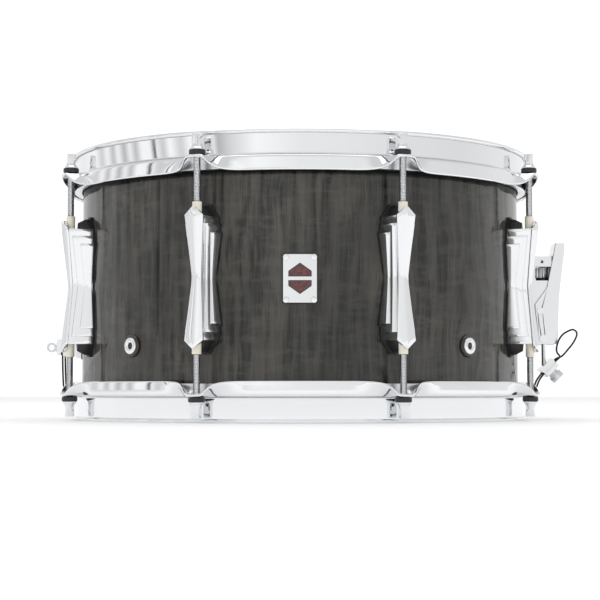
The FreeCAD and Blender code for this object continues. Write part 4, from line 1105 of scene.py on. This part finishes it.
@dataclass
class Rods:
    """Sixteen square-headed threaded rods, their nylon washers and the ivory sleeves that they screw into."""

    finishes: Finishes
    flange: float = 5.3
    flange_height: float = 1.7
    square: float = 6.35
    head: float = 10.0
    half_diagonal: float = 3.5

    def build(self) -> None:
        """Make every rod, washer and sleeve."""
        thread = thread_tree()
        rings = ring_tree()
        for end in End:
            for number in range(1, ROD_COUNT + 1):
                self.build_rod(thread, end, number)
            self.build_rings(rings, end)

    def build_rod(self, thread: GeometryTree, end: End, number: int) -> None:
        """One rod: thread, flange and square head."""
        node = f"tension_rod_{end.value}_{number}"
        spot = joint_point(f"rod_turn_{end.value}_{number}")
        low, high = node_range(node, 2)
        tall = self.head + self.flange_height
        seat = high - tall if end is End.TOP else low + tall
        shank = thread.make("shank", self.finishes.steel, Length=((high - low) - self.head - self.flange_height) * MM)
        collar = [(0, -0.3), (self.flange, 0), (self.flange, self.flange_height - 0.7),
                  (self.flange - 0.9, self.flange_height), (self.half_diagonal, self.flange_height + 2.6),
                  (0, self.flange_height + 3.0)]
        flange = paint(smooth(lathe("flange", rounded(collar, 0.25), 40)), self.finishes.chrome)
        corners = rounded(rectangle(self.square / 2, self.square / 2), 0.7, 3)
        levels = ((self.flange_height - 0.3, 1.0), (tall - 0.9, 1.0), (tall - 0.25, 0.93), (tall, 0.8))
        points = [(x * share, y * share, level) for level, share in levels for x, y in corners]
        head = paint(smooth(stacked("head", points, len(corners)), 30), self.finishes.chrome)
        rod = joined(f"{node}_steel", [shank, flange, head])
        flip = Matrix.Rotation(0 if end is End.TOP else math.pi, 4, "X")
        turn = Matrix.Rotation(math.atan2(spot.y, spot.x), 4, "Z")
        rod.data.transform(Matrix.Translation(Vector((spot.x, spot.y, seat)) * MM) @ turn @ flip)
        finish(smooth(rod, 50), node, "plated_steel", node)

    def build_rings(self, rings: GeometryTree, end: End) -> None:
        """The washers under the heads and the sleeves in the lugs at one end of the drum."""
        for node, bore, outer, edge, slot, material in (
                (f"rod_washers_{end.value}", 2.95, 6.1, 0.7, "black_nylon", self.finishes.nylon),
                (f"lug_nuts_{end.value}", 2.8, 3.45, 0.2, "ivory_nylon", self.finishes.ivory)):
            low, high = node_range(node, 2)
            piece = rings.make(f"{node}_rings", material, Bore=bore * MM, Outer=outer * MM, Height=(high - low) * MM,
                               Level=(low + high) / 2 * MM, Round=edge * MM)
            finish(smooth(piece), "drum", slot, node)


@dataclass(frozen=True)
class Layer:
    """One waisted layer of a lug, in millimetres from the drum's axis and from the lug's middle."""

    half_height: float
    end_half: float
    waist_half: float
    end_face: float
    waist_face: float
    back: float = 178.3


@dataclass
class Lugs:
    """Eight double-ended lugs: a ridged, hollowed front over waisted terraces, on a black gasket."""

    finishes: Finishes
    tip: float = 51.35
    front_layer: Layer = Layer(45.3, 7.4, 3.8, 201.8, 196.2, 196.0)
    facet: float = math.radians(15.0)
    draft: float = math.radians(5.5)
    layers: tuple[Layer, ...] = (
        Layer(32.9, 11.2, 7.6, 189.1, 184.9), Layer(39.2, 9.1, 6.1, 195.1, 189.9),
        Layer(45.0, 7.0, 3.6, 199.2, 193.6))
    base_outline: Outline = ((3.5, 0.0), (6.6, 44.0), (0.0, 53.6))
    base_tip: float = 1.6
    base_rows: tuple[Point, ...] = ((178.3, 1.0, 0.0), (183.0, 0.94, 0.6), (188.6, 0.62, 3.4))
    ease: float = 0.07
    pad: Outline = ((7.9, 0.0), (12.3, 33.0), (12.3, 34.3), (10.9, 35.2), (11.1, 40.4), (10.3, 41.4), (10.4, 45.0),
                    (3.0, 54.9))

    def eased(self, height: float, half_height: float) -> float:
        """0 at the waist and 1 at the ends, straight but for a short rounding at the waist."""
        share = min(1.0, abs(height) / half_height)
        soft = self.ease
        return (math.sqrt(share * share + soft * soft) - soft) / (math.sqrt(1 + soft * soft) - soft)

    def spot(self, layer: Layer, height: float) -> tuple[float, float]:
        """A layer's half width and face at a height."""
        share = self.eased(height, layer.half_height)
        return (layer.waist_half + (layer.end_half - layer.waist_half) * share,
                layer.waist_face + (layer.end_face - layer.waist_face) * share)

    def front(self) -> Piece:
        """The front plate: two facets that meet on a hollow ridge, with pointed ends."""
        layer = self.front_layer
        heights = [layer.half_height * step / 20 for step in range(-20, 21)]
        points = []
        for height in [-self.tip] + heights + [self.tip]:
            half, ridge = self.spot(layer, height)
            half = 0.3 if abs(height) > layer.half_height + 0.01 else half
            edge = ridge - half * math.tan(self.facet)
            back = edge - 2.0 if half > 0.5 else edge - 3.8
            points += [(back, -half, height), (edge, -half, height), (ridge, 0, height), (edge, half, height),
                       (back, half, height)]
        return stacked("lug_front", points, 5)

    def block(self, layer: Layer) -> Piece:
        """A waisted block from the shell out to a hollow face."""
        heights = [layer.half_height * step / 16 for step in range(-16, 17)]
        points = []
        for height in heights:
            half, face = self.spot(layer, height)
            root = half + (face - layer.back) * math.tan(self.draft)
            points += [(layer.back, -root, height), (face, -half, height), (face, half, height),
                       (layer.back, root, height)]
        return stacked("lug_block", points, 4)

    def base(self) -> Piece:
        """The pointed foot behind the sleeves, sloping in towards its face."""
        (waist, _), (wide, shoulder), (_, tip) = self.base_outline
        outline = [(waist, 0), (wide, shoulder), (self.base_tip, tip), (-self.base_tip, tip), (-wide, shoulder),
                   (-waist, 0), (-wide, -shoulder), (-self.base_tip, -tip), (self.base_tip, -tip), (wide, -shoulder)]
        points = [(level, across * share, up - math.copysign(drop, up) if up else 0.0)
                  for level, share, drop in self.base_rows for across, up in outline]
        return stacked("lug_base", points, len(outline))

    def build(self) -> None:
        """Make the eight lugs and the gaskets."""
        chrome = self.finishes.cast_chrome
        # The foot gets black nylon instead of chrome: a painted dark reflection, standing in for the shell and shade
        # that the chrome foot reflects.
        parts = [paint(self.base(), self.finishes.nylon)]
        parts += [paint(part, chrome) for part in (*map(self.block, self.layers), self.front())]
        for part in parts:
            smooth(baked(bevel(part, 0.3, 3, 20)), 35)
        master = joined("lug_master", parts)
        for number in range(1, ROD_COUNT + 1):
            node = f"lug_{number}"
            low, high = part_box(node)
            angle = math.degrees(math.atan2(low[1] + high[1], low[0] + high[0]))
            angle = math.radians(round((angle - FIRST_ROD) / ROD_PITCH) * ROD_PITCH + FIRST_ROD)
            middle = (low[2] + high[2]) / 2
            lug = placed(f"{node}_casting", master.data.copy())
            lug.data.transform(Matrix.Translation((0, 0, middle)) @ Matrix.Rotation(angle, 4, "Z"))
            finish(lug, "drum", "lug_chrome", node)
        bpy.data.objects.remove(master, do_unlink=True)
        self.build_gaskets()

    def build_gaskets(self) -> None:
        """Black pads with pointed ends behind the lugs, bent round the shell."""
        middle = node_middle("lug_gaskets", 2)
        right = [(x, -y) for x, y in reversed(self.pad[1:])] + list(self.pad)
        outline = rounded(right + [(-x, y) for x, y in reversed(right)], 1.0, 3)
        pads = [wrapped(prism("gasket", outline, -0.2, 1.9), node_range("shell", 0)[1],
                        math.radians(FIRST_ROD + ROD_PITCH * number), middle) for number in range(ROD_COUNT)]
        finish(paint(joined("lug_gasket_pads", pads), self.finishes.rubber), "drum", "black_gasket", "lug_gaskets")


@dataclass
class Cords:
    """The snare cords: two runs at each end of the wires and the free loop at the throw-off."""

    finishes: Finishes
    thickness: float = 1.5
    level: float = 10.1
    side: float = 8.0
    start: float = 163.0
    clamp: tuple[float, float] = (208.738, 47.138)
    loop: tuple[Point, ...] = (
        (211.7, -8.0, 50.1), (212.2, -15.8, 51.2), (208, -18.3, 55), (209.3, -18.3, 62.8), (213.2, -18.3, 69.2),
        (218.4, -18.3, 72.2), (222.6, -18.3, 73.6), (226, -18.3, 70), (222.4, -18.3, 62.4), (217.4, -18, 56.4),
        (213.8, -14, 51.6), (213, -1, 50.8), (211.7, 8.0, 50.1))

    def curve(self, name: str, points: Sequence[Point]) -> Piece:
        """A round cord whose smooth line is led by points in millimetres."""
        data = bpy.data.curves.new(name, "CURVE")
        data.dimensions = "3D"
        data.bevel_depth = self.thickness / 2 * MM
        data.bevel_resolution = 5
        data.resolution_u = 12
        data.use_fill_caps = True
        spline = data.splines.new("NURBS")
        spline.points.add(len(points) - 1)
        for target, point in zip(spline.points, points):
            target.co = (*(value * MM for value in point), 1.0)
        spline.order_u = 3
        spline.use_endpoint_u = True
        return paint(placed(name, data), self.finishes.braid)

    def build_loop(self) -> None:
        """The free loop that stands out from the clamp."""
        reach, level = self.clamp
        points = [(reach, -self.side, level), *self.loop, (reach, self.side, level)]
        loop = self.curve("free_cord_loop", points)
        finish(loop, "snares", "black_cord", "snare_cord_loop")

    def build_runs(self) -> None:
        """The tight runs from the end plates out through the gates and up to the clamps."""
        throwoff = [(self.start, self.level), (188, self.level), (193.6, 27), (197, 35.4), self.clamp]
        butt = [(-self.start, self.level), (-189, self.level), (-194.4, 24), (-194.4, 65)]
        finish(self.run("throwoff", throwoff), "snares", "black_cord", "snare_cords_throwoff")
        run = self.run("butt", butt)
        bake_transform(run)
        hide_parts("snare_cords_butt")

    def run(self, name: str, route: Outline) -> Piece:
        """Both tight runs at one side of the drum, along a route of reach and height, as one plain mesh."""
        pair = [self.meshed(self.curve(f"{name}_run", [(x, side, z) for x, z in route]))
                for side in (-self.side, self.side)]
        return paint(joined(f"snare_cord_runs_{name}", pair), self.finishes.braid)

    @staticmethod
    def meshed(curve: Piece) -> Piece:
        """The plain mesh of a curve."""
        graph = bpy.context.evaluated_depsgraph_get()
        mesh = bpy.data.meshes.new_from_object(curve.evaluated_get(graph), depsgraph=graph)
        piece = placed(curve.name + "_mesh", mesh)
        bpy.data.objects.remove(curve, do_unlink=True)
        tidy_mesh(piece)
        return smooth(piece, 60)


@dataclass
class Snares:
    """Twenty coiled wires soldered to two end plates."""

    finishes: Finishes

    def build(self) -> None:
        """Make the coils; the end plates keep their shape."""
        low, high = node_range("snare_wires", 2)
        left, right = node_range("snare_wires", 0)
        tree = coil_tree()
        coils = tree.make("snare_coils", self.finishes.wire, Length=(right - left) * MM, Level=(low + high) / 2 * MM)
        finish(smooth(coils, 60), "snares", "snare_steel", "snare_wires")
        dress("snare_end_plates", self.finishes.satin, 0.15)


def dress(node: str, material: Material, edge: float = 0.3) -> None:
    """Give a CAD node its finish in every slot, and softened edges."""
    piece = frame["nodes"][node]
    for slot in piece.material_slots:
        slot.material = material
    if edge:
        bevel(piece, edge, 2, 30, weld=True)


@dataclass
class Throwoff:
    """The throw-off and the butt plate, whose CAD shapes are kept."""

    finishes: Finishes
    collar: Outline = ((0, 113.7), (5.6, 113.7), (5.6, 116.3), (0, 116.3))
    knob_reach: float = 200.0
    clamp_reach: float = 204.0
    clamp_level: float = 42.4
    lip_reach: float = 6.4
    lip_gap: float = 0.72
    lip_depth: float = 1.2
    lip_starts: tuple[float, float] = (-10.9, 9.7)

    def build(self) -> None:
        """Dress every node and add the collar and the clamp's lips."""
        pale, satin = self.finishes.pale_satin, self.finishes.satin
        for material, edge, nodes in (
                (pale, 0.5, ("throwoff_body", "throwoff_lever", "butt_body")),
                (pale, 0.4, ("carriage", "throwoff_clamp_plate", "butt_clamp_plate")),
                (satin, 0.25, ("throwoff_clamp_knob", "tension_knob", "butt_clamp_screw")),
                (self.finishes.steel, 0.15, ("throwoff_pins", "lug_screws", "mount_screws")),
                (self.finishes.rubber, 0.0, ("throwoff_gasket", "butt_gasket"))):
            for node in nodes:
                dress(node, material, edge)
        self.build_clamp_lips()
        collar = lathe("knob_collar", self.collar, 32, Matrix.Translation((self.knob_reach, 0, 0)))
        finish(paint(smooth(collar, 30), self.finishes.nylon), "tension_knob", "strainer_satin")

    def build_clamp_lips(self) -> None:
        """Thin lips that close the clamp's gap at its two sides."""
        tilt = Matrix.Rotation(-math.pi / 4, 4, "Y") @ Matrix.Rotation(math.pi / 2, 4, "X")
        place = Matrix.Translation((self.clamp_reach, 0, self.clamp_level)) @ tilt
        lips = [prism("clamp_lip", rectangle(self.lip_reach, self.lip_gap), low, low + self.lip_depth, place)
                for low in self.lip_starts]
        finish(paint(joined("clamp_lips", lips), self.finishes.pale_satin), "snares", "strainer_chrome")


# ------------------------------------------------------------------------------------------------ studio

# Brightness of the panels round the drum, each at its share of a full turn from the back over the left.
PANELS = ((0.0, 0.88), (0.1, 0.8), (0.15, 0.92), (0.17, 0.6), (0.186, 0.9), (0.2, 0.5), (0.212, 0.9),
          (0.226, 0.45), (0.238, 0.86), (0.25, 0.5), (0.262, 0.92), (0.2805, 0.9), (0.2825, 0.02),
          (0.286, 0.02), (0.288, 0.9), (0.3, 0.55), (0.312, 0.95), (0.33, 0.6), (0.345, 0.95),
          (0.365, 0.62), (0.378, 0.85), (0.386, 0.45), (0.3905, 0.5), (0.4, 0.62), (0.44, 0.93),
          (0.5, 0.8), (0.56, 0.78), (0.62, 0.74), (0.74, 0.7), (0.82, 0.76), (1.0, 0.88))


@dataclass(frozen=True)
class SoftBox:
    """A square area light that looks at the drum, in metres and watts."""

    name: str
    place: Point
    size: float
    power: float
    reflected: bool = False

    def build(self) -> None:
        """Make the light."""
        data = bpy.data.lights.new(self.name, "AREA")
        data.size = self.size
        data.energy = self.power
        light = placed(self.name, data)
        light.location = self.place
        aim = Vector((0.0, 0.0, 0.1)) - Vector(self.place)
        light.rotation_euler = aim.to_track_quat("-Z", "Y").to_euler()
        light.visible_glossy = self.reflected


@dataclass
class Studio:
    """Camera, floor, world and lights."""

    lens: float = 103.14
    sensor: float = 36.0
    distance: float = 1.4157
    eye: float = 0.0229
    pitch: float = 3.0446
    floor_half: float = 6000.0
    floor_glow: float = 0.16
    exposure: float = 0.2
    lights: tuple[SoftBox, ...] = (
        SoftBox("overhead", (0.0, 0.2, 2.4), 2.0, 13.0, True), SoftBox("left", (-2.4, -1.0, 1.4), 1.2, 4.2),
        SoftBox("right", (2.6, -0.6, 1.2), 1.2, 3.6))

    def build_camera(self) -> None:
        """A long lens, low and level with the bottom hoop, tipped up a little."""
        data = bpy.data.cameras.new("camera")
        data.lens = self.lens
        data.sensor_width = self.sensor
        data.clip_start = 0.05
        camera = placed("camera", data)
        camera.location = (0.0, -self.distance, self.eye)
        camera.rotation_euler = (math.radians(90.0 + self.pitch), 0.0, 0.0)
        bpy.context.scene.camera = camera

    def build_floor(self) -> None:
        """A wide pale floor, a little darker at the left in what reflects it."""
        half = self.floor_half
        floor = mesh_object("floor", [(-half, -half, 0), (half, -half, 0), (half, half, 0), (-half, half, 0)],
                            [[0, 1, 2, 3]])
        material, tree, shader = new_material("pale floor")
        speckle = tree.noise(tree.object_point(), 40.0, 3.0)
        tint = tree.blend(speckle, rgb(0.9, 0.9, 0.9), rgb(0.93, 0.93, 0.93))
        across = tree.add("ShaderNodeSeparateXYZ", {0: tree.object_point()}).outputs[0]
        tone = tree.spread(across, -0.75, -0.3, 0.72, 1.0)
        seen = tree.add("ShaderNodeLightPath").outputs["Is Camera Ray"]
        colour = tree.blend(seen, tree.blend(tone, rgb(0.0, 0.0, 0.0), tint), tint)
        tree.wire(shader, {"Base Color": colour, "Roughness": 0.7, "Emission Color": rgb(1.0, 1.0, 1.0),
                           "Emission Strength": self.floor_glow})
        paint(floor, material)

    def build_world(self) -> None:
        """White behind the drum, and a studio of soft bright and dark panels for what reflects."""
        world = bpy.data.worlds.new("studio")
        bpy.context.scene.world = world
        world.use_nodes = True
        world.node_tree.nodes.clear()
        tree = Tree(world.node_tree)
        way = tree.add("ShaderNodeSeparateXYZ", {0: tree.add("ShaderNodeTexCoord").outputs["Generated"]})
        bearing = tree.math("ARCTAN2", way.outputs[0], tree.math("MULTIPLY", way.outputs[1], -1.0))
        share = tree.math("ADD", tree.math("DIVIDE", bearing, math.tau), 0.5)
        panels = tree.add("ShaderNodeValToRGB", {0: share})
        elements = panels.color_ramp.elements
        while len(elements) < len(PANELS):
            elements.new(0.5)
        for element, (place, level) in zip(elements, PANELS):
            element.position = place
            element.color = rgb(level, level, level)
        overhead = tree.spread(way.outputs[2], 0.3, 0.6, 0.0, 1.0)
        room = tree.blend(overhead, panels.outputs[0], rgb(0.62, 0.62, 0.63))
        seen = tree.add("ShaderNodeLightPath").outputs["Is Camera Ray"]
        colour = tree.blend(seen, room, rgb(1.0, 1.0, 1.0))
        background = tree.add("ShaderNodeBackground", {"Color": colour, "Strength": 1.0})
        tree.add("ShaderNodeOutputWorld", {"Surface": background})

    def build(self) -> None:
        """Everything but the camera."""
        self.build_floor()
        self.build_world()
        for light in self.lights:
            light.build()
        view = bpy.context.scene.view_settings
        view.view_transform = "Standard"
        view.exposure = self.exposure


def main() -> None:
    """Build the drum and its studio."""
    logging.basicConfig(level=logging.INFO, format="%(name)s %(message)s")
    studio = Studio()
    studio.build_camera()
    finishes = Finishes()
    cords = Cords(finishes)
    cords.build_loop()
    cords.build_runs()
    Shell(finishes).build()
    for end in End:
        Hoop(finishes, end).build()
        Head(finishes, end).build()
    Rods(finishes).build()
    Lugs(finishes).build()
    Snares(finishes).build()
    Throwoff(finishes).build()
    studio.build()


if __name__ == "__main__":
    main()
